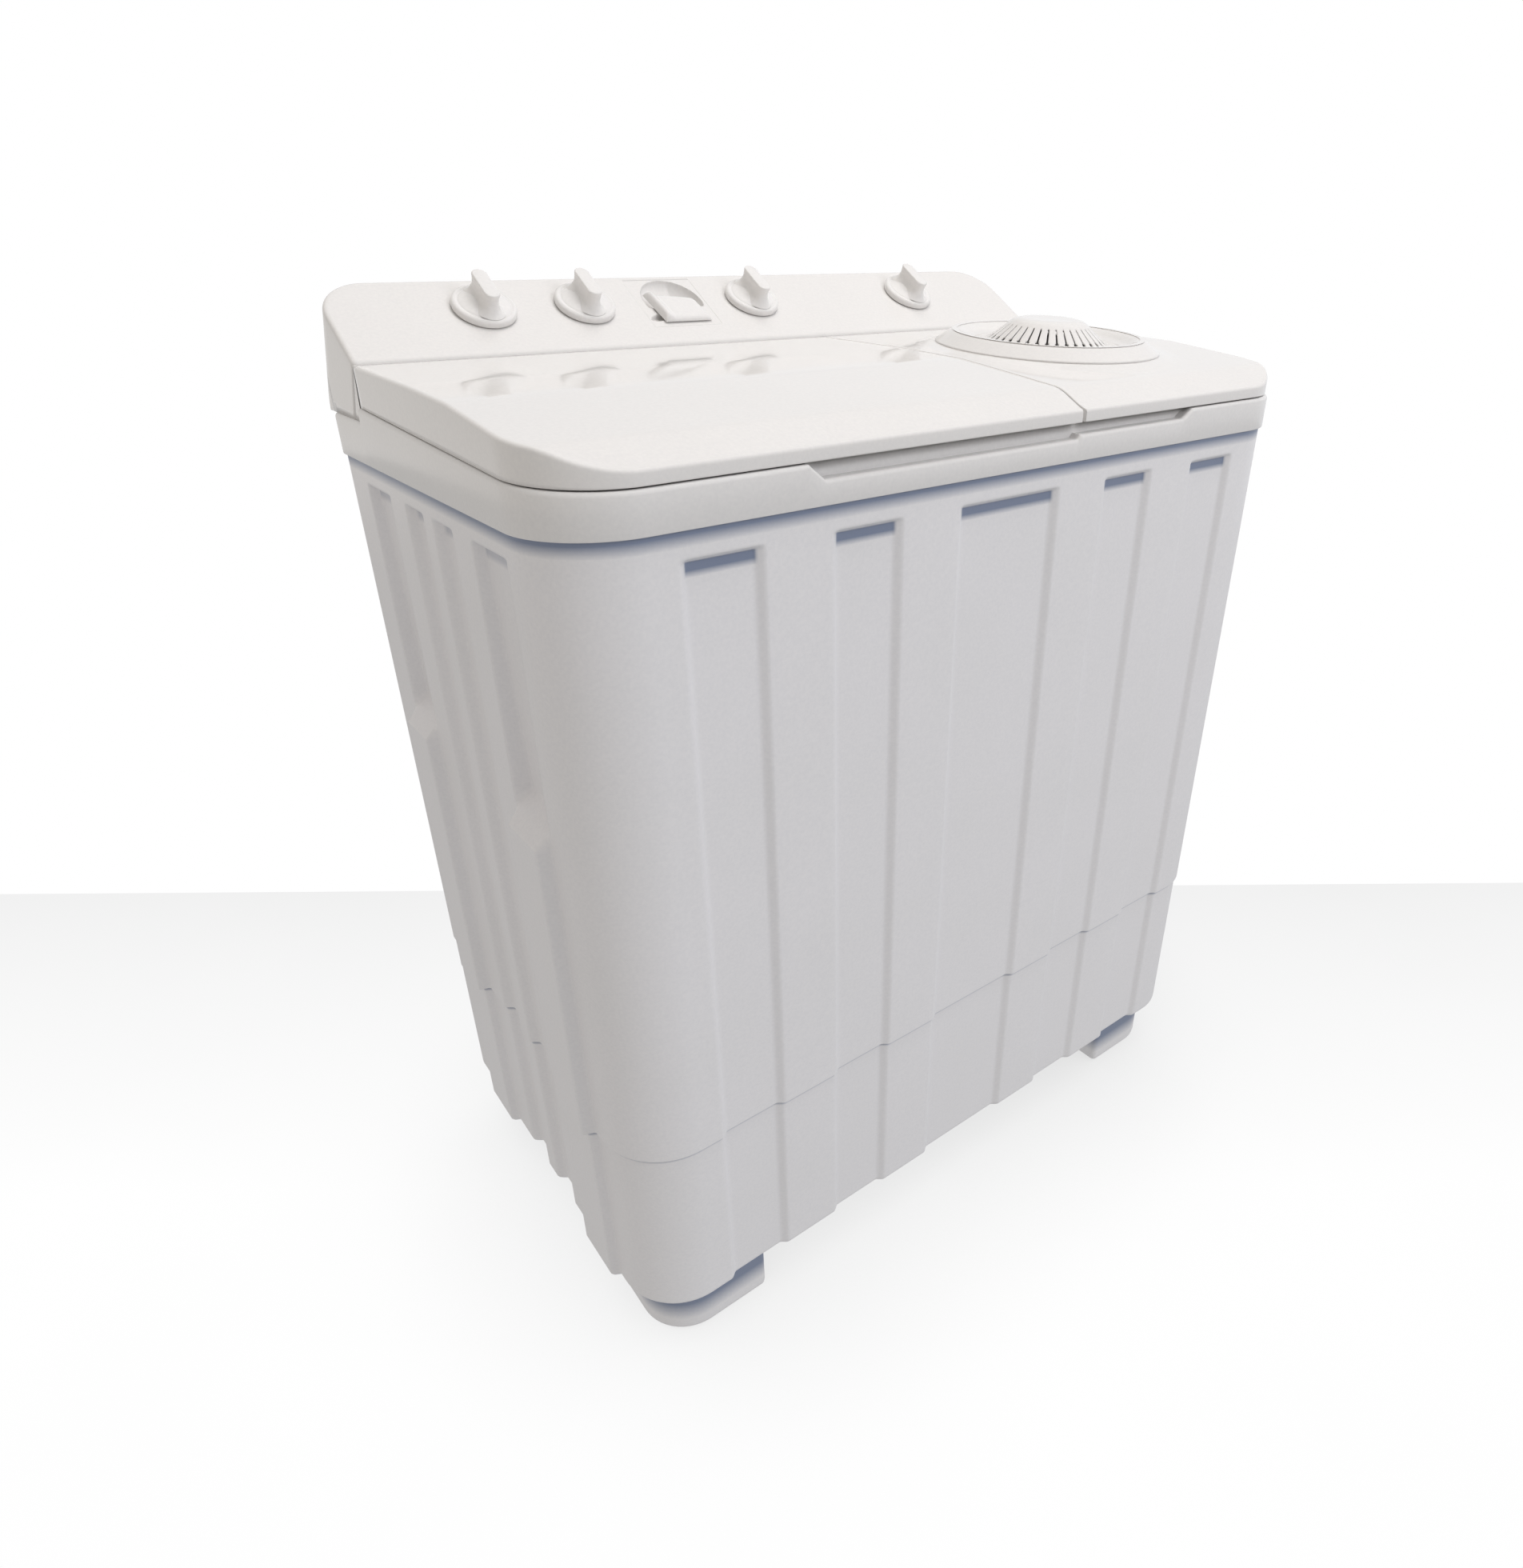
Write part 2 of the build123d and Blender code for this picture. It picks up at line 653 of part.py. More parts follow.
def spin_vent_grille():
    """The round vent on the spin lid: a raised rim, a dish, and a slotted cone in its middle."""
    outline = [(0, 25), (34, 25), (62, 3), (82, 3), (93, 15), (97, 15), (VENT_RIM_R, 0)]
    outline += [(VENT_RIM_R - 4, 0), (95.8, 12), (94.2, 12), (83.2, 0), (60.8, 0), (32.8, 22), (0, 22)]
    shape = turned(outline)
    slot = Pos(50, 0, 14) * Box(20, VENT_SLOT_W, 40)
    for turn in range(VENT_SLOTS):
        shape -= Rot(0, 0, 360 / VENT_SLOTS * turn) * slot
    return VENT * shape


# ---- control box --------------------------------------------------------------------------------
def box_volume(inset):
    """The control box's outside, or its inside when inset by the wall."""
    angle = math.radians(PANEL_ANGLE)
    back = BACK_Y + FRAME_OVERHANG
    top = (PANEL_Y + PANEL_RUN * math.cos(angle), PANEL_Z + PANEL_RUN * math.sin(angle))
    shoulder = (back, top[1] - (back - top[0]) / math.tan(angle))
    foot = (SEAT_Y + SEAT_SETBACK, SEAT_Z)
    face = make_face(Polyline((PANEL_Y, PANEL_Z), top, shoulder, (back, SEAT_Z), foot, close=True))
    half = SIDE_X - inset
    if inset:
        face = offset(face, -inset, kind=Kind.INTERSECTION)
    body = extrude(Plane.YZ.offset(-half) * face, 2 * half)
    if inset:
        body += block(-half, half, foot[0] + inset, back - inset, SEAT_Z - 1, SEAT_Z + 2 * inset)
    run = PANEL_RUN - inset
    outline = Rectangle(2 * half, 2 * run)
    outline = fillet(outline.vertices().sort_by(Axis.Y)[-2:], PANEL_CORNER - inset)
    return body & PANEL * Pos(0, 0, -2 * PANEL_RUN) * extrude(outline, 4 * PANEL_RUN)


def box_shell():
    """The control box as one shell, before it is split into panel and rear."""
    return box_volume(0) - box_volume(PANEL_WALL)


def knuckles():
    """The hinge knuckles that reach forward from the panel's lower edge, bored for the lid pins."""
    shape = Part()
    for x in knuckle_xs(*WASH_LID_X) + knuckle_xs(*SPIN_LID_X):
        x0, x1 = x - KNUCKLE_W / 2, x + KNUCKLE_W / 2
        ear = rod_x(x0, x1, HINGE_Y, HINGE_Z, KNUCKLE_R)
        ear += block(x0, x1, HINGE_Y, PANEL_Y + PANEL_WALL, HINGE_Z - KNUCKLE_R, HINGE_Z)
        shape += ear - rod_x(x0 - 1, x1 + 1, HINGE_Y, HINGE_Z, PIN_R + RUN_GAP)
    return shape


def control_panel():
    """The sloped control panel with its end caps, stem holes, bowl opening and spout openings."""
    shell = box_shell() & block(-SIDE_X, SIDE_X, 0, BOX_SPLIT_Y, SEAT_Z, SEAT_Z + TOP_SPAN)
    for x in CONTROLS.values():
        shell -= on_panel(x, KNOB_S, 0) * Cylinder(STEM_R + STEM_PANEL_GAP, 20)
    shell -= on_panel(BOWL_X, BOWL_S, 0) * Box(BOWL_W + 2 * JOINT_GAP, BOWL_L + 2 * JOINT_GAP, 20)
    for x in SPOUT_XS:
        half = CHUTE_W / 2 + SIDE_GAP
        shell -= block(x - half, x + half, 100, SEAT_Y + 20, CHUTE_Z - SIDE_GAP, CHUTE_Z + CHUTE_H + SIDE_GAP)
    return shell + knuckles()


def control_box_rear():
    """The back of the control box."""
    return box_shell() & block(-SIDE_X, SIDE_X, BOX_SPLIT_Y, CABINET_D, SEAT_Z, SEAT_Z + TOP_SPAN)


def knob():
    """A knob about its own axis: domed skirt and a waisted grip bar that points up the slope."""
    outline = [(0, 0), (KNOB_R - 2, 0), (KNOB_R, 1.5), (KNOB_R, 4), (KNOB_R - 2, 5.5), (12, KNOB_SKIRT_H + 2)]
    outline += [(0, KNOB_SKIRT_H + 2)]
    shape = turned(outline)
    grip = extrude(SlotOverall(GRIP_L, GRIP_T, rotation=90), KNOB_H - KNOB_SKIRT_H)
    shape += Pos(0, 0, KNOB_SKIRT_H - 2) * grip & Pos(0, 0, KNOB_H / 2) * Box(99, 99, KNOB_H)
    waist = Cylinder(60, KNOB_H, align=(Align.CENTER, Align.CENTER, Align.MIN))
    for sign in (-1, 1):
        shape -= Pos(sign * (60 + GRIP_T / 2 - 2.5), 0, KNOB_SKIRT_H + 2) * waist
    return shape - Cylinder(STEM_R + STEM_FIT, 2 * 16)


def placed_knob(x):
    """The knob on the panel, at its off position."""
    return on_panel(x, KNOB_S, KNOB_LIFT) * knob()


def stem(x, deep):
    """The stem under a knob, reaching into what the knob works."""
    top = KNOB_LIFT + 15
    low = -PANEL_WALL - deep
    return on_panel(x, KNOB_S, (top + low) / 2) * Cylinder(STEM_R, top - low)


def control_housing(x, deep):
    """A timer or switch body under the panel, bored for its stem, with two shallower side steps."""
    bottom = (Align.CENTER, Align.CENTER, Align.MAX)
    shape = Box(HOUSING_W, HOUSING_W, deep, align=bottom)
    shape = fillet(shape.edges().filter_by(Axis.Z), 6)
    shape -= Pos(0, 0, -deep + 8) * Box(HOUSING_W + 2, 12, 8, align=bottom)
    shape -= Cylinder(STEM_R + RUN_GAP, 2 * deep + 2)
    return on_panel(x, KNOB_S, -PANEL_WALL) * shape


def crank_stem(x):
    """The drain selector's stem with the crank arm that lifts the drain rod."""
    shape = stem(x, HOUSING_DEEP)
    low = -PANEL_WALL - HOUSING_DEEP
    arm = on_panel(x, KNOB_S - 10, low - 2) * Box(8, 28, 4)
    return shape + arm


def inlet_bowl():
    """The water inlet's bowl, let into the panel, with a hooded cup and a drain spigot."""
    top = (Align.CENTER, Align.CENTER, Align.MAX)
    shape = Pos(0, 0, 1) * Box(BOWL_W, BOWL_L, BOWL_DEEP + 1, align=top)
    shape = fillet(shape.edges().filter_by(Axis.Z), 8)
    cup_s = BOWL_L / 2 - BOWL_DOME_R - 4
    cup = Pos(0, cup_s, 1) * Sphere(BOWL_DOME_R)
    shape -= cup & Pos(0, cup_s, -BOWL_DEEP + 3) * Box(99, 99, 40, align=(Align.CENTER, Align.MIN, Align.MIN))
    body = on_panel(BOWL_X, BOWL_S, 0) * shape
    spigot_y = PANEL_Y + (BOWL_S + cup_s + 8) * math.cos(math.radians(PANEL_ANGLE))
    under = PANEL_Z + (BOWL_S + cup_s + 8) * math.sin(math.radians(PANEL_ANGLE)) - BOWL_DEEP
    body += drum(BOWL_X, spigot_y, CHUTE_Z + CHUTE_H + JOINT_GAP, under, 10)
    body -= drum(BOWL_X, spigot_y, CHUTE_Z + CHUTE_H - 1, under + 9, 7)
    return body - on_panel(BOWL_X, LEVER_S, 0) * Cylinder(LEVER_PIN_R + RUN_GAP, 60)


def water_selector_lever():
    """The plate that sends the water to either tub: a raised blade on its left edge, a pin below."""
    bottom = (Align.CENTER, Align.CENTER, Align.MIN)
    plate = Box(LEVER_W, LEVER_L, LEVER_T, align=bottom)
    plate = fillet(plate.edges().filter_by(Axis.Z), 5)
    blade = Pos(-LEVER_W / 2 + 4, 4, 0) * Box(8, LEVER_L + 8, LEVER_BLADE_H, align=bottom)
    blade = fillet(blade.edges().filter_by(Axis.Z), 3.5)
    pin = Pos(0, 0, -12) * Cylinder(LEVER_PIN_R, 14, align=bottom)
    return on_panel(BOWL_X, LEVER_S, 1 + JOINT_GAP) * (plate + blade + pin)


def inlet_chute():
    """The duct that carries the water from the bowl to a spout over each tub."""
    x0, x1 = min(SPOUT_XS) - CHUTE_W / 2 - 20, max(SPOUT_XS) + CHUTE_W / 2
    y0, y1 = CHUTE_BACK_Y - CHUTE_W, CHUTE_BACK_Y
    z0, z1 = CHUTE_Z, CHUTE_Z + CHUTE_H
    wall = CHUTE_T
    shape = block(x0, x1, y0, y1, z0, z1)
    room = block(x0 + wall, x1 - wall, y0 + wall, y1 - wall, z0 + wall, z1 - wall)
    for x in SPOUT_XS:
        half = CHUTE_W / 2
        shape += block(x - half, x + half, CHUTE_TIP_Y, y0 + 1, z0, z1)
        room += block(
            x - half + wall, x + half - wall, CHUTE_TIP_Y - 1, y1 - wall, z0 + wall, z1 - wall
        )
        shape += block(x - 5, x + 5, y0 + 6, y1 - 6, SEAT_Z, z0)
    spigot_s = BOWL_S + BOWL_L / 2 - BOWL_DOME_R - 4 + 8
    spigot_y = PANEL_Y + spigot_s * math.cos(math.radians(PANEL_ANGLE))
    hole = drum(BOWL_X, spigot_y, z1 - wall - 1, z1 + 1, 7)
    keep = drum(VALVE_X, VALVE_Y, z0 - 1, z1 + 1, LIFT_ROD_R + 5)
    pillar = drum(VALVE_X, VALVE_Y, z0, z1, LIFT_ROD_R + 7)
    return shape - room - hole + pillar - keep


# ---- wash side ----------------------------------------------------------------------------------
def tub(width, depth, corner, x, y, floor):
    """A tub with an outward flange, open at the top."""
    shape = prism(width, depth, floor, CABINET_TOP, corner, corner, (x, y))
    grow = 2 * TUB_FLANGE
    flange = (width + grow, depth + grow, CABINET_TOP - TUB_FLANGE_T, CABINET_TOP)
    shape += prism(*flange, corner + TUB_FLANGE, corner + TUB_FLANGE, (x, y))
    wall = 2 * TUB_WALL
    room = (width - wall, depth - wall, floor + TUB_WALL, CABINET_TOP + 1)
    return shape - prism(*room, corner - TUB_WALL, corner - TUB_WALL, (x, y))


WASH_BACK_Y = WASH_Y + WASH_D / 2
WASH_RIGHT_X = WASH_X + WASH_W / 2


def wash_tub():
    """The wash tub, with a hole for the pulsator shaft's collar and a drain port low at the back."""
    shape = tub(WASH_W, WASH_D, TUB_CORNER, WASH_X, WASH_Y, WASH_FLOOR_Z)
    shape -= drum(WASH_X, WASH_Y, WASH_FLOOR_Z - 1, WASH_FLOOR_Z + 9, WASH_SHAFT_R + 12)
    port_x = WASH_RIGHT_X - TUB_CORNER - PORT_R
    return shape - rod_y(port_x, WASH_BACK_Y - 9, WASH_BACK_Y + 1, WASH_PORT_Z, PORT_R - VALVE_WALL)


def overflow_grid():
    """The slotted cover of the overflow channel on the tub's right wall."""
    x1 = WASH_RIGHT_X - TUB_WALL
    low = WASH_FLOOR_Z + 90
    shape = block(x1 - GRID_T, x1, WASH_Y - GRID_W / 2, WASH_Y + GRID_W / 2, low, low + GRID_H)
    shape = fillet(shape.edges().filter_by(Axis.X), 10)
    shape -= block(
        x1 - GRID_T + 2, x1 + 1, WASH_Y - GRID_W / 2 + 3, WASH_Y + GRID_W / 2 - 3, low + 8, low + GRID_H - 8
    )
    rows = 14
    for row in range(rows):
        z = low + 20 + (GRID_H - 40) / rows * (row + 0.5)
        shape -= block(x1 - GRID_T - 1, x1 - GRID_T + 3, WASH_Y - GRID_W / 3, WASH_Y + GRID_W / 3, z - 3, z + 3)
    return shape


def lint_filter():
    """The lint filter cassette on the tub's back wall: a frame that holds a fine screen."""
    y1 = WASH_BACK_Y - TUB_WALL - JOINT_GAP
    half = FILTER_W / 2
    z0, z1 = FILTER_Z, FILTER_Z + FILTER_H
    shape = block(WASH_X - half, WASH_X + half, y1 - FILTER_T, y1, z0, z1)
    shape = fillet(shape.edges().filter_by(Axis.Y), 14)
    shape -= block(WASH_X - half + 8, WASH_X + half - 8, y1 - FILTER_T - 1, y1 - 6, z0 + 14, z1 - 26)
    shape -= block(WASH_X - half + 20, WASH_X + half - 20, y1 - 7, y1 + 1, z0 + 30, z1 - 60)
    return shape


def pulsator():
    """The pulsator: a shallow dish with curved vanes and a raised middle."""
    low = WASH_FLOOR_Z + TUB_WALL + PULSATOR_LIFT
    outline = [(0, 0), (PULSATOR_R, 0), (PULSATOR_R, 4), (PULSATOR_R - 8, 7), (70, PULSATOR_H)]
    outline += [(40, PULSATOR_H + 10), (24, PULSATOR_H + 18), (0, PULSATOR_H + 18)]
    shape = turned(outline)
    for turn in range(VANE_COUNT):
        vane = [(20, 0), (PULSATOR_R - 8, 0), (PULSATOR_R - 16, 12), (90, VANE_H - 2), (30, VANE_H + 4)]
        fin = extrude(Plane.XZ.offset(-6) * make_face(Polyline(*vane, close=True)), 12)
        shape += Rot(0, 0, 360 / VANE_COUNT * turn) * fin
    shape -= Cylinder(WASH_SHAFT_R + STEM_FIT, 2 * (PULSATOR_H + 8))
    shape -= Pos(0, 0, PULSATOR_H + 10) * Cylinder(3 + STEM_FIT, 40)
    return Pos(WASH_X, WASH_Y, low) * shape


SHAFT_TOP = WASH_FLOOR_Z + TUB_WALL + PULSATOR_LIFT + PULSATOR_H + 8


def pulsator_screw():
    """The screw with a wide head that holds the pulsator on its shaft."""
    head_z = WASH_FLOOR_Z + TUB_WALL + PULSATOR_LIFT + PULSATOR_H + 18
    shape = drum(WASH_X, WASH_Y, head_z, head_z + 4, 9)
    return shape + drum(WASH_X, WASH_Y, SHAFT_TOP - 12, head_z, 3)


def pulsator_shaft():
    """The steel shaft from the driven pulley up through the gearbox to the pulsator."""
    return drum(WASH_X, WASH_Y, PULLEY_Z - 4, SHAFT_TOP, WASH_SHAFT_R) - drum(
        WASH_X, WASH_Y, SHAFT_TOP - 12, SHAFT_TOP + 1, 3 + STEM_FIT
    )


def wash_gearbox():
    """The gearbox bolted under the wash tub, with a sealing collar through the tub's floor."""
    top = WASH_FLOOR_Z
    shape = drum(WASH_X, WASH_Y, top - GEARBOX_FLANGE_T, top, GEARBOX_FLANGE_R)
    shape += drum(WASH_X, WASH_Y, top - GEARBOX_H, top, GEARBOX_R)
    shape += drum(WASH_X, WASH_Y, top - 1, top + TUB_WALL + 2, WASH_SHAFT_R + 11)
    for turn in range(6):
        angle = math.radians(60 * turn)
        x, y = WASH_X + 70 * math.cos(angle), WASH_Y + 70 * math.sin(angle)
        shape += drum(x, y, top - GEARBOX_FLANGE_T - 5, top - GEARBOX_FLANGE_T, 6)
    low = top - GEARBOX_H
    return shape - drum(WASH_X, WASH_Y, low - 1, top + 20, WASH_SHAFT_R + RUN_GAP)


def pulley(radius, bore):
    """A grooved pulley about the origin, standing on its lower face."""
    half = PULLEY_T / 2
    groove_in = radius - GROOVE
    outline = [(bore, 0), (radius, 0), (radius, half - 6), (groove_in, half - 3), (groove_in, half + 3)]
    outline += [(radius, half + 6), (radius, PULLEY_T), (bore, PULLEY_T)]
    return turned(outline)


def driven_pulley():
    """The large pulley on the gearbox's input, lightened by six holes."""
    shape = pulley(DRIVEN_R, WASH_SHAFT_R + STEM_FIT)
    for turn in range(6):
        angle = math.radians(60 * turn)
        shape -= Pos(50 * math.cos(angle), 50 * math.sin(angle), 0) * Cylinder(15, 60)
    return Pos(WASH_X, WASH_Y, PULLEY_Z) * shape


def motor_pulley():
    """The small pulley on the wash motor's shaft."""
    return Pos(WASH_MOTOR_X, WASH_MOTOR_Y, PULLEY_Z) * pulley(DRIVER_R, MOTOR_SHAFT_R + STEM_FIT)


def belt_loop(extra):
    """The plan of the belt at the groove floor of both pulleys, wider by extra."""
    dx, dy = WASH_MOTOR_X - WASH_X, WASH_MOTOR_Y - WASH_Y
    span = math.hypot(dx, dy)
    big, small = DRIVEN_R - GROOVE + extra, DRIVER_R - GROOVE + extra
    lean = math.acos((big - small) / span)
    facing = math.atan2(dy, dx)
    corners = []
    for sign, first in ((1, True), (-1, False)):
        angle = facing + sign * lean
        a = (WASH_X + big * math.cos(angle), WASH_Y + big * math.sin(angle))
        b = (WASH_MOTOR_X + small * math.cos(angle), WASH_MOTOR_Y + small * math.sin(angle))
        corners += [a, b] if first else [b, a]
    face = make_face(Polyline(*corners, close=True))
    face += Pos(WASH_X, WASH_Y) * Circle(big)
    return face + Pos(WASH_MOTOR_X, WASH_MOTOR_Y) * Circle(small)


def v_belt():
    """The belt round both pulleys, just clear of their groove floors."""
    face = belt_loop(JOINT_GAP + BELT_T) - belt_loop(JOINT_GAP)
    return Pos(0, 0, PULLEY_Z + PULLEY_T / 2 - 2.5) * extrude(face, 5)


MOTOR_TOP = WASH_FLOOR_Z - BRACKET_T - BRACKET_POST_H


def wash_motor_shaft():
    """The wash motor's shaft, out of the motor's lower end."""
    return drum(WASH_MOTOR_X, WASH_MOTOR_Y, PULLEY_Z - 3, MOTOR_TOP - WASH_MOTOR_H + 30, MOTOR_SHAFT_R)


def wash_motor():
    """The wash motor: stator drum between two end shields, four ears for the bracket's posts."""
    x, y, low = WASH_MOTOR_X, WASH_MOTOR_Y, MOTOR_TOP - WASH_MOTOR_H
    shape = drum(x, y, low + 18, MOTOR_TOP - 18, WASH_MOTOR_R)
    shape += drum(x, y, low + 6, MOTOR_TOP - 6, WASH_MOTOR_R - 8)
    shape += drum(x, y, low, MOTOR_TOP, 20)
    for turn in range(4):
        angle = math.radians(45 + 90 * turn)
        ear_x, ear_y = x + 50 * math.cos(angle), y + 50 * math.sin(angle)
        shape += drum(ear_x, ear_y, MOTOR_TOP - 20, MOTOR_TOP, 8)
    return shape - drum(x, y, low - 1, low + 32, MOTOR_SHAFT_R + RUN_GAP)


def motor_bracket():
    """The steel plate under the tub that carries the wash motor on four posts."""
    x, y, top = WASH_MOTOR_X, WASH_MOTOR_Y, WASH_FLOOR_Z
    width = WASH_RIGHT_X - x - 4
    shape = block(x - 60, x + width, y - 60, y + 60, top - BRACKET_T, top)
    for turn in range(4):
        angle = math.radians(45 + 90 * turn)
        post_x, post_y = x + 50 * math.cos(angle), y + 50 * math.sin(angle)
        shape += drum(post_x, post_y, MOTOR_TOP, top, 6)
    return shape


# ---- spin side ----------------------------------------------------------------------------------
SPIN_BACK_Y = SPIN_Y + SPIN_CASE / 2


def spin_case():
    """The outer tub round the spin basket, with a hole for the boot and a drain port at the back."""
    shape = tub(SPIN_CASE, SPIN_CASE, SPIN_CASE_CORNER, SPIN_X, SPIN_Y, SPIN_FLOOR_Z)
    shape -= drum(SPIN_X, SPIN_Y, SPIN_FLOOR_Z - 1, SPIN_FLOOR_Z + 9, BOOT_R - BOOT_SEAT)
    port = rod_y(SPIN_PORT_X, SPIN_Y, SPIN_BACK_Y + 1, SPIN_PORT_Z, PORT_R - VALVE_WALL)
    clear = block(0, SPIN_X, SPIN_Y, SPIN_BACK_Y - SPIN_CASE_CORNER, SPIN_FLOOR_Z - 9, CABINET_TOP)
    return shape - (port - clear)


def spin_basket():
    """The perforated spin basket with a rolled rim and a hub over its shaft."""
    r, wall = BASKET_R, BASKET_WALL
    outline = [(0, 0), (r - 8, 0), (r, 8), (r, BASKET_TOP - BASKET_Z), (r - BASKET_RIM, BASKET_TOP - BASKET_Z)]
    outline += [(r - BASKET_RIM, BASKET_TOP - BASKET_Z - 3), (r - wall, BASKET_TOP - BASKET_Z - 3)]
    outline += [(r - wall, 9), (r - 9, wall + 1), (HUB_R + 14, wall + 1), (HUB_R, HUB_H), (0, HUB_H)]
    shape = turned(outline)
    for row in range(BASKET_HOLE_ROWS):
        z = 60 + row * (BASKET_TOP - BASKET_Z - 110) / (BASKET_HOLE_ROWS - 1)
        for turn in range(BASKET_HOLES // 2):
            angle = 360 / BASKET_HOLES * (turn + 0.5 * (row % 2))
            shape -= Pos(0, 0, z) * Rot(0, 0, angle) * Rot(0, 90, 0) * Cylinder(BASKET_HOLE_R, 2 * r + 9)
    shape -= Cylinder(SPIN_SHAFT_R + STEM_FIT, 2 * (HUB_H - 5))
    return Pos(SPIN_X, SPIN_Y, BASKET_Z) * shape


def spin_press_disc():
    """The loose pierced disc that lies on the hub and holds the load down when spinning."""
    low = BASKET_Z + HUB_H
    shape = drum(SPIN_X, SPIN_Y, low, low + PRESS_T, PRESS_R)
    for ring_r, count in ((40, 8), (70, 12)):
        for turn in range(count):
            angle = math.radians(360 / count * turn)
            x, y = SPIN_X + ring_r * math.cos(angle), SPIN_Y + ring_r * math.sin(angle)
            shape -= drum(x, y, low - 1, low + PRESS_T + 1, 7)
    return shape


def spin_shaft():
    """The shaft from the spin motor through the brake drum and boot into the basket's hub."""
    return drum(SPIN_X, SPIN_Y, SPIN_MOTOR_Z + SPIN_MOTOR_H - 18, BASKET_Z + HUB_H - 5, SPIN_SHAFT_R)


def spin_boot():
    """The rubber boot that seals the case's floor to the shaft: a pleated cone with a sleeve."""
    floor = SPIN_FLOOR_Z
    neck, seat = BOOT_NECK_R, BOOT_R - BOOT_SEAT - JOINT_GAP
    bore = SPIN_SHAFT_R + RUN_GAP
    top = floor + TUB_WALL
    outline = [(bore, floor - 12), (neck, floor - 12), (seat, floor - 2), (BOOT_R, floor - 2)]
    outline += [(BOOT_R, floor), (seat, floor), (seat, top), (neck + 10, top + 5), (neck + 6, top + 2)]
    outline += [(neck, top + BOOT_H), (bore, top + BOOT_H)]
    return turned(outline, SPIN_X, SPIN_Y)


def brake_drum():
    """The brake drum that couples the motor to the spin shaft."""
    half = DRUM_T / 2
    bore = SPIN_SHAFT_R + STEM_FIT
    outline = [(bore, 0), (DRUM_R, 0), (DRUM_R, DRUM_T), (DRUM_R - 6, DRUM_T), (DRUM_R - 6, half)]
    outline += [(22, half), (22, DRUM_T + 6), (bore, DRUM_T + 6)]
    return turned(outline, SPIN_X, SPIN_Y, DRUM_Z)


def spin_motor():
    """The spin motor: finned stator between a top plate and three feet, with the brake's pivot post."""
    x, y, low = SPIN_X, SPIN_Y, SPIN_MOTOR_Z
    high = low + SPIN_MOTOR_H
    shape = drum(x, y, low + 20, high - 20, SPIN_MOTOR_R)
    shape += drum(x, y, low, high, SPIN_MOTOR_R - 10)
    shape += drum(x, y, high - MOTOR_PLATE_T, high, MOTOR_PLATE_R)
    shape += drum(x, y, low, low + MOTOR_PLATE_T, BUFFER_AT + BUFFER_R + 2)
    pivot_x, pivot_y = x - BRAKE_ARM_X, y + BRAKE_PIVOT_Y
    shape += drum(pivot_x, pivot_y, high, DRUM_Z + 4, BRAKE_PIN_R + 3)
    shape += drum(pivot_x, pivot_y, high, DRUM_Z + 4 + BRAKE_ARM_T + 2, BRAKE_PIN_R)
    return shape - drum(x, y, high - 20, high + 1, SPIN_SHAFT_R + RUN_GAP)


def motor_buffers():
    """The three pleated rubber buffers that carry the spin motor on the base floor."""
    low, high = FLOOR_Z + FLOOR_T, SPIN_MOTOR_Z
    pleats = 5
    step = (high - low) / pleats
    outline = [(0, low)]
    for number in range(pleats):
        z = low + step * number
        outline += [(BUFFER_R - 4, z), (BUFFER_R, z + step / 2)]
    outline += [(BUFFER_R - 4, high), (0, high)]
    shape = Part()
    for turn in range(3):
        angle = math.radians(90 + 120 * turn)
        x, y = SPIN_X + BUFFER_AT * math.cos(angle), SPIN_Y + BUFFER_AT * math.sin(angle)
        shape += turned(outline, x, y)
    return shape


def brake_lever():
    """The brake's arm on its pivot, beside the drum."""
    x, pivot_y = SPIN_X - BRAKE_ARM_X, SPIN_Y + BRAKE_PIVOT_Y
    low = DRUM_Z + 4
    half = BRAKE_ARM_W / 2
    shape = block(x - half, x + half, pivot_y - BRAKE_ARM_L, pivot_y, low, low + BRAKE_ARM_T)
    shape += drum(x, pivot_y, low, low + BRAKE_ARM_T, BRAKE_PIN_R + 5)
    return shape - drum(x, pivot_y, low - 1, low + BRAKE_ARM_T + 1, BRAKE_PIN_R + RUN_GAP)


def brake_pad():
    """The friction pad on the arm, hollowed to the drum's rim and clear of it when the lid is shut."""
    face = SPIN_X - BRAKE_ARM_X + BRAKE_ARM_W / 2
    shape = block(face, SPIN_X - DRUM_R + 4, SPIN_Y - 16, SPIN_Y + 16, DRUM_Z + 1, DRUM_Z + 15)
    return shape - drum(SPIN_X, SPIN_Y, DRUM_Z, DRUM_Z + 20, DRUM_R + BRAKE_GAP)


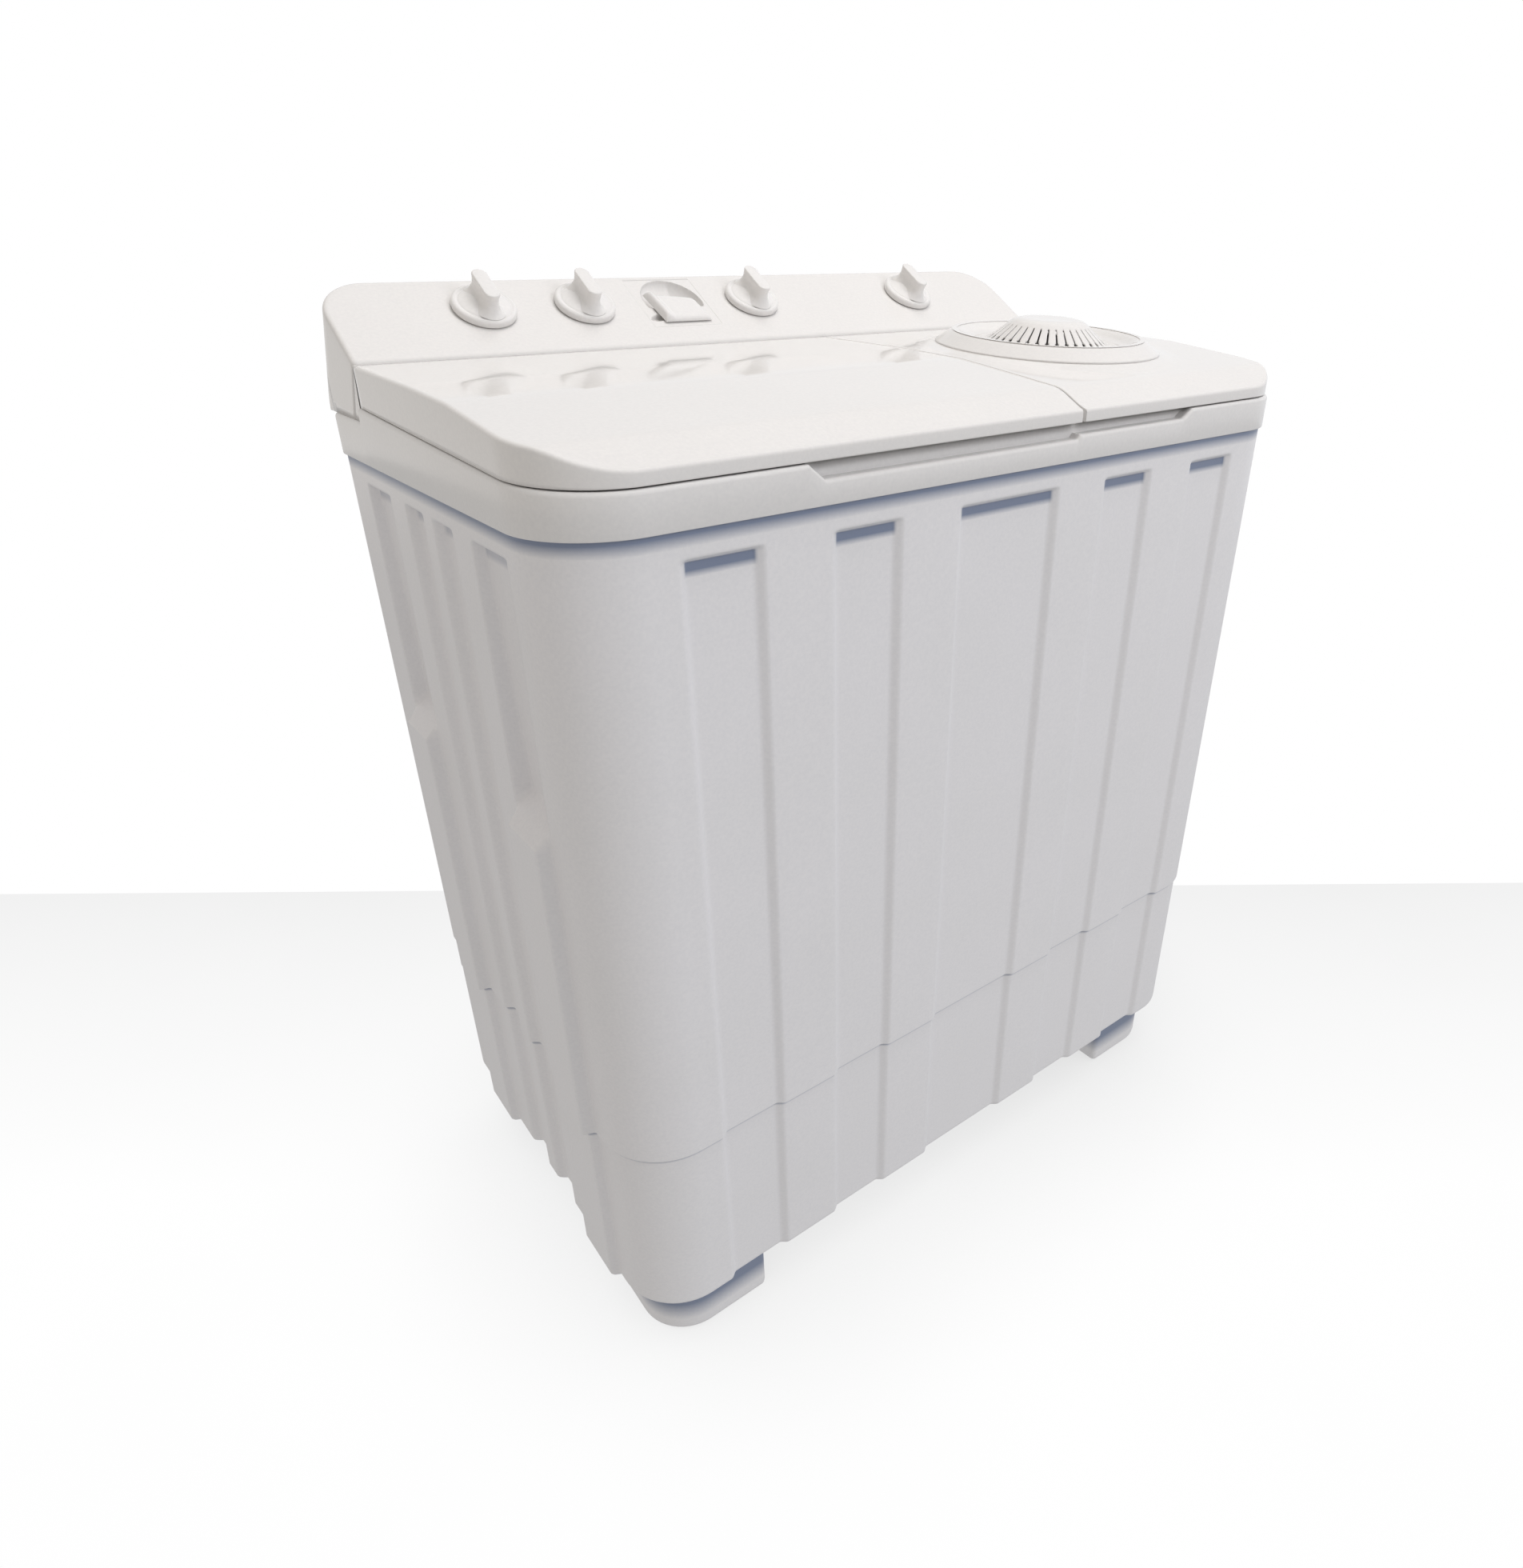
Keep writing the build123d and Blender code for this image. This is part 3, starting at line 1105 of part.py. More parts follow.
# ---- drain and electrics ------------------------------------------------------------------------
def drain_valve():
    """The drain valve's chamber, with a duct from the wash tub and a seat for the bung."""
    wall, top = VALVE_WALL, VALVE_Z + VALVE_H
    duct_x = WASH_RIGHT_X - TUB_CORNER - PORT_R
    bend = (duct_x, VALVE_Y, WASH_PORT_Z)
    meet = (VALVE_X - VALVE_R / 2, VALVE_Y, WASH_PORT_Z)
    middle = (VALVE_X, VALVE_Y, WASH_PORT_Z)
    shape = drum(VALVE_X, VALVE_Y, VALVE_Z, top, VALVE_R)
    shape += bent_rod([(duct_x, WASH_BACK_Y, WASH_PORT_Z), bend, meet], DRAIN_BEND, PORT_R)
    shape -= drum(VALVE_X, VALVE_Y, VALVE_Z + wall, top - wall, VALVE_R - wall)
    shape -= bent_rod([(duct_x, WASH_BACK_Y - 1, WASH_PORT_Z), bend, middle], DRAIN_BEND, PORT_R - wall)
    shape -= drum(VALVE_X, VALVE_Y, VALVE_Z - 1, VALVE_Z + wall + 1, SEAT_BORE_R)
    shape -= drum(VALVE_X, VALVE_Y, top - wall - 1, top + 1, LIFT_ROD_R + RUN_GAP)
    return shape - rod_x(VALVE_X, VALVE_X + VALVE_R + 1, VALVE_Y, SPIN_PORT_Z, PORT_R - wall)


def drain_plunger():
    """The rubber bung on its long lift rod, seated on the valve's bore."""
    low = VALVE_Z + VALVE_WALL + JOINT_GAP
    shape = drum(VALVE_X, VALVE_Y, low, low + BUNG_H, BUNG_R)
    return shape + drum(VALVE_X, VALVE_Y, low + BUNG_H, LIFT_ROD_TOP, LIFT_ROD_R)


def spin_drain_pipe():
    """The pipe from the spin case's back wall to the drain valve."""
    meet = VALVE_X + VALVE_R - 2
    inside = SPIN_BACK_Y - SPIN_CASE_CORNER / 2
    route = [(SPIN_PORT_X, inside, SPIN_PORT_Z), (SPIN_PORT_X, VALVE_Y, SPIN_PORT_Z)]
    route += [(meet, VALVE_Y, SPIN_PORT_Z)]
    shape = pipe(route, DRAIN_BEND, PORT_R, PORT_R - VALVE_WALL)
    side = SPIN_CASE + 2 * JOINT_GAP
    radius = SPIN_CASE_CORNER + JOINT_GAP
    shape -= prism(side, side, SPIN_FLOOR_Z, CABINET_TOP, radius, radius, (SPIN_X, SPIN_Y))
    return shape - drum(VALVE_X, VALVE_Y, VALVE_Z, VALVE_Z + VALVE_H, VALVE_R + JOINT_GAP)


def drain_spout():
    """The pipe from under the drain valve down and out through the back of the base."""
    end_y = BACK_Y + FRAME_OVERHANG - 0.5
    route = [(VALVE_X, VALVE_Y, VALVE_Z), (VALVE_X, VALVE_Y, SPOUT_Z), (VALVE_X, end_y, SPOUT_Z)]
    return pipe(route, DRAIN_BEND, SPOUT_R, SPOUT_R - SPOUT_WALL)


def capacitors():
    """The two motor capacitors, standing on the base floor."""
    low = FLOOR_Z + FLOOR_T
    shape = Part()
    for x in CAPACITOR_XS:
        can = drum(x, CAPACITOR_Y, low, low + CAPACITOR_H, CAPACITOR_R)
        can += drum(x, CAPACITOR_Y, low + CAPACITOR_H, low + CAPACITOR_H + 5, CAPACITOR_R - 4)
        shape += can
    return shape


# ---- writing ------------------------------------------------------------------------------------
def pieces():
    """Each piece's name and shape, in the order a bench would lay them out."""
    yield "cabinet", cabinet()
    yield "base", base()
    for name, (x, y) in zip(("front_left", "front_right", "back_right", "back_left"), leg_centres()):
        yield f"foot_pad_{name}", foot_pad(x, y)
    yield "rear_cover", rear_cover()
    yield "casing_screws", casing_screws()
    yield "cord_gland", cord_gland()
    yield "top_frame", top_frame()
    yield "wash_lid", lid(*WASH_LID_X, True)
    yield "wash_lid_pins", lid_pins(*WASH_LID_X)
    yield "spin_lid", spin_lid()
    yield "spin_lid_pins", lid_pins(*SPIN_LID_X)
    yield "spin_vent_grille", spin_vent_grille()
    yield "control_panel", control_panel()
    yield "control_box_rear", control_box_rear()
    for name, x in CONTROLS.items():
        yield f"{name}_knob", placed_knob(x)
        yield f"{name}_stem", crank_stem(x) if name == "drain_selector" else stem(x, HOUSING_DEEP - 6)
    yield "wash_timer", control_housing(CONTROLS["wash_timer"], HOUSING_DEEP)
    yield "wash_selector_switch", control_housing(CONTROLS["wash_selector"], HOUSING_DEEP)
    yield "drain_selector_bracket", control_housing(CONTROLS["drain_selector"], HOUSING_DEEP - JOINT_GAP)
    yield "spin_timer", control_housing(CONTROLS["spin_timer"], HOUSING_DEEP)
    yield "inlet_bowl", inlet_bowl()
    yield "water_selector_lever", water_selector_lever()
    yield "inlet_chute", inlet_chute()
    yield "wash_tub", wash_tub()
    yield "overflow_grid", overflow_grid()
    yield "lint_filter", lint_filter()
    yield "pulsator", pulsator()
    yield "pulsator_screw", pulsator_screw()
    yield "pulsator_shaft", pulsator_shaft()
    yield "wash_gearbox", wash_gearbox()
    yield "driven_pulley", driven_pulley()
    yield "v_belt", v_belt()
    yield "motor_pulley", motor_pulley()
    yield "wash_motor_shaft", wash_motor_shaft()
    yield "wash_motor", wash_motor()
    yield "motor_bracket", motor_bracket()
    yield "spin_case", spin_case()
    yield "spin_basket", spin_basket()
    yield "spin_press_disc", spin_press_disc()
    yield "spin_shaft", spin_shaft()
    yield "spin_boot", spin_boot()
    yield "brake_drum", brake_drum()
    yield "spin_motor", spin_motor()
    yield "motor_buffers", motor_buffers()
    yield "brake_lever", brake_lever()
    yield "brake_pad", brake_pad()
    yield "drain_valve", drain_valve()
    yield "drain_plunger", drain_plunger()
    yield "spin_drain_pipe", spin_drain_pipe()
    yield "drain_spout", drain_spout()
    yield "capacitors", capacitors()


for piece_name, piece_shape in pieces():
    export_step(piece_shape, f"parts/{piece_name}.step")
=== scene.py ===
"""A twin tub washer dressed for a studio picture.

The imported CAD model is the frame. Most outside pieces are rebuilt here as smooth surfaces over the CAD
sizes, the inner pieces keep their CAD meshes, and every piece gets a procedural finish. Lengths inside
the classes are millimetres; meshes are written in metres. +X is the washer's right, -Y its front.
"""

from __future__ import annotations

import json
import logging
import math
from dataclasses import dataclass, field
from enum import Enum

import bmesh
import bpy
import numpy as np
from mathutils import Matrix, Vector

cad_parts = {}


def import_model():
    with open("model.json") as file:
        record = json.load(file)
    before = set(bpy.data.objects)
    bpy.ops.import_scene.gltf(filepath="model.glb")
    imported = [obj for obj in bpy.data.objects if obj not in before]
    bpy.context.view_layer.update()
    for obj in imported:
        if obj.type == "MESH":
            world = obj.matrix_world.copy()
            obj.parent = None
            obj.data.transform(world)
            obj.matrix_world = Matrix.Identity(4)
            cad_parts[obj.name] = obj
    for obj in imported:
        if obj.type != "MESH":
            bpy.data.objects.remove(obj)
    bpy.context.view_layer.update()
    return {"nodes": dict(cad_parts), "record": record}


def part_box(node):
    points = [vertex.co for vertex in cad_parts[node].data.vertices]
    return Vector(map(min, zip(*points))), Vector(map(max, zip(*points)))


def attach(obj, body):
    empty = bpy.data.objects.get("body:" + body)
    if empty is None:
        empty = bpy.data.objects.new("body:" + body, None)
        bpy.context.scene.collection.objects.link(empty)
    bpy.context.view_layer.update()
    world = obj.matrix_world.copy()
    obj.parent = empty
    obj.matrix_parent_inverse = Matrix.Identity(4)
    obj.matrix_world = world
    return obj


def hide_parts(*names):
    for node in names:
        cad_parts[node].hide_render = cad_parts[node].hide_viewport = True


LOG = logging.getLogger("twin_tub")
MM = 0.001
WELD = 2e-5
TINY = 1e-6
Array = np.ndarray


# ---- small mathematics ---------------------------------------------------------------------------
def smooth(t: Array | float) -> Array:
    """Smoothstep: 3t^2 - 2t^3 with t held between 0 and 1.

    Args:
        t: Where the step is, 0 before it and 1 after it.

    Returns:
        The eased value, same shape as t.
    """
    t = np.clip(t, 0.0, 1.0)
    return t * t * (3.0 - 2.0 * t)


def soft_interp(x: Array, xs: tuple, ys: tuple, radius: float) -> Array:
    """A polyline with softened kinks: the mean of the polyline over a window of +-radius.

    Args:
        x: Where to read the curve.
        xs: Knots, rising.
        ys: Values at the knots.
        radius: Half width of the averaging window.

    Returns:
        Values at x.
    """
    taps = np.linspace(-radius, radius, 13)
    slope0 = (ys[1] - ys[0]) / (xs[1] - xs[0])
    slope1 = (ys[-1] - ys[-2]) / (xs[-1] - xs[-2])
    far = 4 * radius + 1
    xs = (xs[0] - far, *xs, xs[-1] + far)
    ys = (ys[0] - far * slope0, *ys, ys[-1] + far * slope1)
    return np.mean([np.interp(x + tap, xs, ys) for tap in taps], axis=0)


def graded(low: float, high: float, edges: tuple, reach: float, fine: float, coarse: float) -> Array:
    """Stations from low to high, close together near the edges and far apart between them.

    Args:
        low: First station.
        high: Last station.
        edges: Where the surface turns.
        reach: How far either side of an edge stays fine.
        fine: Spacing near an edge.
        coarse: Spacing elsewhere.

    Returns:
        The stations, rising.
    """
    stations = [low, high, *(edge for edge in edges if low < edge < high)]
    offsets = np.arange(1, int(reach / fine) + 1) * fine
    near = [edge + way * step for edge in edges for step in offsets for way in (-1, 1)]
    for place in [*near, *np.linspace(low, high, int((high - low) / coarse) + 2)]:
        if low < place < high and min(abs(place - other) for other in stations) > 0.45 * fine:
            stations.append(place)
    return np.sort(np.array(stations, float))


def round_box_reach(direction: Array, half: tuple, radius: float) -> Array:
    """How far a ray from the middle of a rounded rectangle runs before it meets the outline.

    The signed distance |max(|p| - (half - radius), 0)| - radius is halved in on by bisection.

    Args:
        direction: Unit directions, (n, 2).
        half: Half width and half depth.
        radius: Corner radius.

    Returns:
        Distances, (n,).
    """
    core = np.array(half) - radius
    low, high = np.zeros(len(direction)), np.full(len(direction), 2.0 * max(half))
    for _ in range(40):
        mid = (low + high) / 2
        q = np.abs(direction * mid[:, None]) - core
        outside = np.linalg.norm(np.maximum(q, 0), axis=1) + np.minimum(q.max(axis=1), 0) > radius
        high, low = np.where(outside, mid, high), np.where(outside, low, mid)
    return (low + high) / 2


@dataclass(frozen=True)
class Extent:
    """The box of a CAD node in millimetres.

    Args:
        low: Lowest corner.
        high: Highest corner.
    """

    low: Array
    high: Array

    @classmethod
    def of(cls, node: str) -> "Extent":
        """Reads a node's box from the frame.

        Args:
            node: CAD node name.

        Returns:
            Its extent.
        """
        low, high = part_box(node)
        return cls(np.array(low) / MM, np.array(high) / MM)

    @property
    def middle(self) -> Array:
        """Centre of the box."""
        return (self.low + self.high) / 2

    @property
    def size(self) -> Array:
        """Edge lengths of the box."""
        return self.high - self.low


# ---- meshes --------------------------------------------------------------------------------------
@dataclass
class Sheet:
    """A mesh gathered from two-parameter grids and fans, in millimetres.

    Args:
        name: Name of the object it becomes.
    """

    name: str
    points: list = field(default_factory=list)
    quads: list = field(default_factory=list)
    triangles: list = field(default_factory=list)
    count: int = 0

    def grid(self, p: Array, wrap_v: bool = False, keep: Array | None = None) -> "Sheet":
        """Adds a grid of points as quads.

        Args:
            p: Points, (nu, nv, 3).
            wrap_v: Joins the last column to the first.
            keep: Which cells are made, (cells in u, cells in v).

        Returns:
            This sheet.
        """
        nu, nv = p.shape[:2]
        index = np.arange(nu * nv).reshape(nu, nv) + self.count
        if wrap_v:
            index = np.hstack([index, index[:, :1]])
        cells = np.stack([index[:-1, :-1], index[1:, :-1], index[1:, 1:], index[:-1, 1:]], axis=-1)
        cells = cells.reshape(-1, 4) if keep is None else cells[keep]
        self.points.append(p.reshape(-1, 3))
        self.quads.append(cells)
        self.count += nu * nv
        return self

    def fan(self, ring: Array, hub: Array) -> "Sheet":
        """Closes a ring with triangles to a hub.

        Args:
            ring: Ring of points, (n, 3).
            hub: Middle point, (3,).

        Returns:
            This sheet.
        """
        n = len(ring)
        around = np.arange(n) + self.count
        cells = np.stack([around, np.roll(around, -1), np.full(n, self.count + n)], axis=-1)
        self.points.append(np.vstack([ring, np.reshape(hub, (1, 3))]))
        self.triangles.append(cells)
        self.count += n + 1
        return self

    def build(
        self,
        body: str,
        finish: "Finish",
        stands_for: tuple = (),
        wall: float = 0.0,
        edge: float = 0.0,
        outside: tuple | None = None,
        crease: float = 40.0,
    ) -> bpy.types.Object:
        """Makes the object, welds its seams, gives it wall and edge modifiers, and puts it on its body.

        Args:
            body: CAD body it rides on.
            finish: What it is made of.
            stands_for: CAD nodes it replaces.
            wall: Thickness grown inwards, 0 for a closed solid.
            edge: Radius of the rounded rims, 0 for none.
            outside: A point in the piece; each joined patch is turned to look away from it.
            crease: Angle in degrees above which an edge is sharp.

        Returns:
            The object.
        """
        mesh = bpy.data.meshes.new(self.name)
        faces = [f for block in self.quads + self.triangles for f in block.tolist()]
        mesh.from_pydata((np.vstack(self.points) * MM).tolist(), [], faces)
        bm = bmesh.new()
        bm.from_mesh(mesh)
        bmesh.ops.remove_doubles(bm, verts=bm.verts, dist=WELD)
        bmesh.ops.dissolve_degenerate(bm, edges=bm.edges, dist=TINY)
        bmesh.ops.recalc_face_normals(bm, faces=bm.faces)
        if outside is not None:
            face_away(bm, Vector(outside) * MM)
        bm.to_mesh(mesh)
        bm.free()
        mesh.shade_smooth()
        mesh.set_sharp_from_angle(angle=math.radians(crease))
        piece = bpy.data.objects.new(self.name, mesh)
        bpy.context.scene.collection.objects.link(piece)
        if wall:
            solid = piece.modifiers.new("wall", "SOLIDIFY")
            solid.thickness = wall * MM
            solid.offset = -1.0
            solid.use_even_offset = False
            solid.use_rim = True
        if edge:
            bevel = piece.modifiers.new("edge", "BEVEL")
            bevel.width = edge * MM
            bevel.segments = 2
            bevel.limit_method = "ANGLE"
            bevel.angle_limit = math.radians(crease)
            bevel.use_clamp_overlap = True
            bevel.harden_normals = False
            weighted = piece.modifiers.new("shading", "WEIGHTED_NORMAL")
            weighted.keep_sharp = True
        piece.data.materials.append(finish.material())
        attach(piece, body)
        if stands_for:
            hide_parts(*stands_for)
        LOG.info("%s: %d points on %s", self.name, len(mesh.vertices), body)
        return piece


def face_away(bm: bmesh.types.BMesh, hub: Vector) -> None:
    """Turns each joined patch of faces so that, by area, it looks away from a point.

    Args:
        bm: Mesh whose patches are each consistent.
        hub: The point.
    """
    left = set(bm.faces)
    while left:
        patch = [left.pop()]
        for face in patch:
            near = {other for edge in face.edges for other in edge.link_faces} & left
            left -= near
            patch.extend(near)
        if sum(f.calc_area() * f.normal.dot(f.calc_center_median() - hub) for f in patch) < 0:
            bmesh.ops.reverse_faces(bm, faces=patch)


def ring_points(radius: Array | float, angles: Array, z: Array | float, centre: Array) -> Array:
    """Points (r cos a, r sin a, z) round an upright axis.

    Args:
        radius: Radii, broadcast against the angles.
        angles: Angles in radians.
        z: Heights.
        centre: (x, y) of the axis.

    Returns:
        Points, broadcast shape plus 3.
    """
    x = centre[0] + radius * np.cos(angles)
    y = centre[1] + radius * np.sin(angles)
    return np.stack(np.broadcast_arrays(x, y, z), axis=-1)


def rounded_path(corners: list, radii: list, steps: int = 7) -> Array:
    """A 2-D polyline whose inner corners are rounded by quadratic Bezier arcs.

    Args:
        corners: The polyline's points.
        radii: How far from each inner corner its arc starts, one per point, ends unused.
        steps: Points on each arc.

    Returns:
        The path, (n, 2).
    """
    corners = np.array(corners, float)
    path = [corners[:1]]
    t = np.linspace(0, 1, steps)[:, None]
    for before, at, after, radius in zip(corners[:-2], corners[1:-1], corners[2:], radii[1:-1]):
        if radius <= 0:
            path.append(at[None])
            continue
        a = at + (before - at) / np.linalg.norm(before - at) * radius
        b = at + (after - at) / np.linalg.norm(after - at) * radius
        path.append((1 - t) ** 2 * a + 2 * t * (1 - t) * at + t**2 * b)
    return np.vstack([*path, corners[-1:]])


# ---- finishes ------------------------------------------------------------------------------------
def srgb(red: float, green: float, blue: float) -> tuple:
    """Display colour to the linear colour the shaders take.

    Args:
        red: 0 to 1.
        green: 0 to 1.
        blue: 0 to 1.

    Returns:
        Linear RGBA.
    """
    linear = [c / 12.92 if c <= 0.04045 else ((c + 0.055) / 1.055) ** 2.4 for c in (red, green, blue)]
    return (*linear, 1.0)


class Graph:
    """A material's node tree with short-hands for the nodes the finishes use."""

    def __init__(self, name: str) -> None:
        """Starts an empty tree.

        Args:
            name: Name of the material.
        """
        self.material = bpy.data.materials.new(name)
        self.material.use_nodes = True
        self.tree = self.material.node_tree
        self.tree.nodes.clear()

    def add(self, kind: str, inputs: dict | None = None, **settings: object) -> bpy.types.Node:
        """Adds a node.

        Args:
            kind: Node type.
            inputs: Socket to value, or to the socket that feeds it.
            **settings: Node properties.

        Returns:
            The node.
        """
        node = self.tree.nodes.new(kind)
        for key, value in settings.items():
            setattr(node, key, value)
        for key, value in (inputs or {}).items():
            if isinstance(value, bpy.types.NodeSocket):
                self.tree.links.new(value, node.inputs[key])
            else:
                node.inputs[key].default_value = value
        return node

    def place(self, stretch: tuple = (1.0, 1.0, 1.0)) -> bpy.types.NodeSocket:
        """Object coordinates, stretched.

        Args:
            stretch: Scale on each axis.

        Returns:
            The vector socket.
        """
        where = self.add("ShaderNodeTexCoord").outputs["Object"]
        return self.add("ShaderNodeMapping", {"Vector": where, "Scale": stretch}).outputs["Vector"]

    def noise(self, scale: float, detail: float, stretch: tuple = (1.0, 1.0, 1.0)) -> bpy.types.NodeSocket:
        """A noise pattern on object coordinates.

        Args:
            scale: Patches per metre.
            detail: Octaves.
            stretch: Scale on each axis.

        Returns:
            The factor socket.
        """
        inputs = {"Vector": self.place(stretch), "Scale": scale, "Detail": detail, "Roughness": 0.55}
        return self.add("ShaderNodeTexNoise", inputs).outputs[0]

    def fit(
        self, value: bpy.types.NodeSocket, low: float, high: float, a: float, b: float
    ) -> bpy.types.NodeSocket:
        """Maps low..high onto a..b, clamped.

        Args:
            value: Socket to read.
            low: From here.
            high: To here.
            a: Result at low.
            b: Result at high.

        Returns:
            The result socket.
        """
        inputs = {"Value": value, 1: low, 2: high, 3: a, 4: b}
        return self.add("ShaderNodeMapRange", inputs, clamp=True).outputs[0]

    def maths(self, how: str, a: object, b: object) -> bpy.types.NodeSocket:
        """One arithmetic step.

        Args:
            how: Operation name.
            a: First operand.
            b: Second operand.

        Returns:
            The result socket.
        """
        return self.add("ShaderNodeMath", {0: a, 1: b}, operation=how).outputs[0]

    def blend(self, amount: object, a: object, b: object, how: str = "MIX") -> bpy.types.NodeSocket:
        """Mixes two colours.

        Args:
            amount: 0 for a, 1 for b.
            a: First colour.
            b: Second colour.
            how: Blend type.

        Returns:
            The colour socket.
        """
        node = self.add("ShaderNodeMix", data_type="RGBA", blend_type=how)
        for socket, value in zip((node.inputs[0], node.inputs[6], node.inputs[7]), (amount, a, b)):
            if isinstance(value, bpy.types.NodeSocket):
                self.tree.links.new(value, socket)
            else:
                socket.default_value = value
        return node.outputs[2]

    def relief(
        self, height: bpy.types.NodeSocket, depth: float, under: object = None
    ) -> bpy.types.NodeSocket:
        """A bump from a height pattern.

        Args:
            height: Pattern from 0 to 1.
            depth: Height in metres.
            under: Normal socket of the bump below it.

        Returns:
            The normal socket.
        """
        inputs = {"Height": height, "Distance": depth, "Strength": 1.0}
        if under is not None:
            inputs["Normal"] = under
        return self.add("ShaderNodeBump", inputs).outputs[0]

    def finish(self, shader: bpy.types.Node) -> bpy.types.Material:
        """Connects the shader to the output.

        Args:
            shader: Node whose first output is the surface.

        Returns:
            The material.
        """
        self.add("ShaderNodeOutputMaterial", {"Surface": shader.outputs[0]})
        return self.material


@dataclass(frozen=True)
class Finish:
    """A moulded plastic: two close tones in clouds, uneven gloss, fine grain and slow waves.

    Args:
        name: Material name.
        slot: Material slot of the record.
        colour: Main tone.
        tone: Second tone of the clouds.
        gloss: Roughness.
        spread: How much the roughness varies.
        grain: Grains per metre.
        depth: Height of the grain in metres.
        wave: Height of the slow waves in metres.
        speck_and_shade: Colour of the specks, and of the shade painted under ledges.
    """

    name: str
    slot: str
    colour: tuple
    tone: tuple
    gloss: float
    spread: float = 0.08
    grain: float = 900.0
    depth: float = 0.00001
    wave: float = 0.0
    speck_and_shade: tuple = srgb(0.42, 0.46, 0.56)

    def surface(self, graph: Graph) -> bpy.types.NodeSocket:
        """The colour: clouds of two tones, finely speckled.

        Args:
            graph: Node tree to build in.

        Returns:
            The colour socket.
        """
        clouds = graph.fit(graph.noise(9.0, 9.0), 0.25, 0.75, 0.0, 1.0)
        colour = graph.blend(clouds, self.colour, self.tone)
        speck = graph.fit(graph.noise(self.grain * 0.4, 2.0), 0.3, 0.7, 0.0, 0.05)
        return graph.blend(speck, colour, self.speck_and_shade, "MULTIPLY")

    def gloss_map(self, graph: Graph) -> bpy.types.NodeSocket:
        """Roughness that varies in soft patches.

        Args:
            graph: Node tree to build in.

        Returns:
            The roughness socket.
        """
        low, high = self.gloss * (1 - self.spread * 2), self.gloss * (1 + self.spread * 4)
        return graph.fit(graph.noise(8.0, 6.0), 0.25, 0.75, low, high)

    def relief_map(self, graph: Graph) -> bpy.types.NodeSocket:
        """Fine grain over slow moulding waves.

        Args:
            graph: Node tree to build in.

        Returns:
            The normal socket.
        """
        normal = graph.relief(graph.noise(self.grain, 2.0), self.depth)
        return graph.relief(graph.noise(6.0, 0.0), self.wave, normal) if self.wave else normal

    def shader(self, graph: Graph) -> bpy.types.Node:
        """The surface shader.

        Args:
            graph: Node tree to build in.

        Returns:
            The shader node.
        """
        inputs = {
            "Base Color": self.surface(graph),
            "Roughness": self.gloss_map(graph),
            "Normal": self.relief_map(graph),
        }
        return graph.add("ShaderNodeBsdfPrincipled", inputs)

    def material(self) -> bpy.types.Material:
        """The material, built once.

        Returns:
            The material.
        """
        made = bpy.data.materials.get(self.name)
        if made is not None:
            return made
        graph = Graph(self.name)
        return graph.finish(self.shader(graph))


@dataclass(frozen=True)
class Metal(Finish):
    """A metal: streaks along the way it was worked, with a film of grime in patches.

    Args:
        streak: Stretch of the streaks on each axis.
        grime: How much of the film shows.
    """

    streak: tuple = (1.0, 1.0, 30.0)
    grime: float = 0.2

    def surface(self, graph: Graph) -> bpy.types.NodeSocket:
        """Streaked metal under patches of grime."""
        streaks = graph.fit(graph.noise(60.0, 4.0, self.streak), 0.3, 0.7, 0.0, 1.0)
        colour = graph.blend(streaks, self.colour, self.tone)
        film = graph.fit(graph.noise(14.0, 6.0), 0.5, 0.75, 0.0, self.grime)
        return graph.blend(film, colour, srgb(0.33, 0.30, 0.27))

    def relief_map(self, graph: Graph) -> bpy.types.NodeSocket:
        """Fine streaks."""
        return graph.relief(graph.noise(self.grain, 3.0, self.streak), self.depth)

    def shader(self, graph: Graph) -> bpy.types.Node:
        """A metallic surface."""
        node = super().shader(graph)
        node.inputs["Metallic"].default_value = 0.95
        return node


@dataclass(frozen=True)
class Rubber(Finish):
    """A matt rubber with pores and a pale bloom."""

    def surface(self, graph: Graph) -> bpy.types.NodeSocket:
        """Dark rubber with bloom and pores."""
        bloom = graph.fit(graph.noise(40.0, 6.0), 0.45, 0.75, 0.0, 1.0)
        colour = graph.blend(bloom, self.colour, self.tone)
        inputs = {"Vector": graph.place(), "Scale": self.grain}
        pores = graph.add("ShaderNodeTexVoronoi", inputs).outputs["Distance"]
        return graph.blend(graph.fit(pores, 0.0, 0.25, 0.5, 0.0), colour, srgb(0.03, 0.03, 0.03))


@dataclass(frozen=True)
class Band:
    """A soft band of shade painted into the colour under a ledge, between two heights, in metres.

    Args:
        low: Where it has faded out.
        full: Where it is full.
        top: Where the ledge cuts it off.
        strength: How dark it is.
        recessed: Only where the wall is pressed in.
    """

    low: float
    full: float
    top: float
    strength: float
    recessed: bool = False


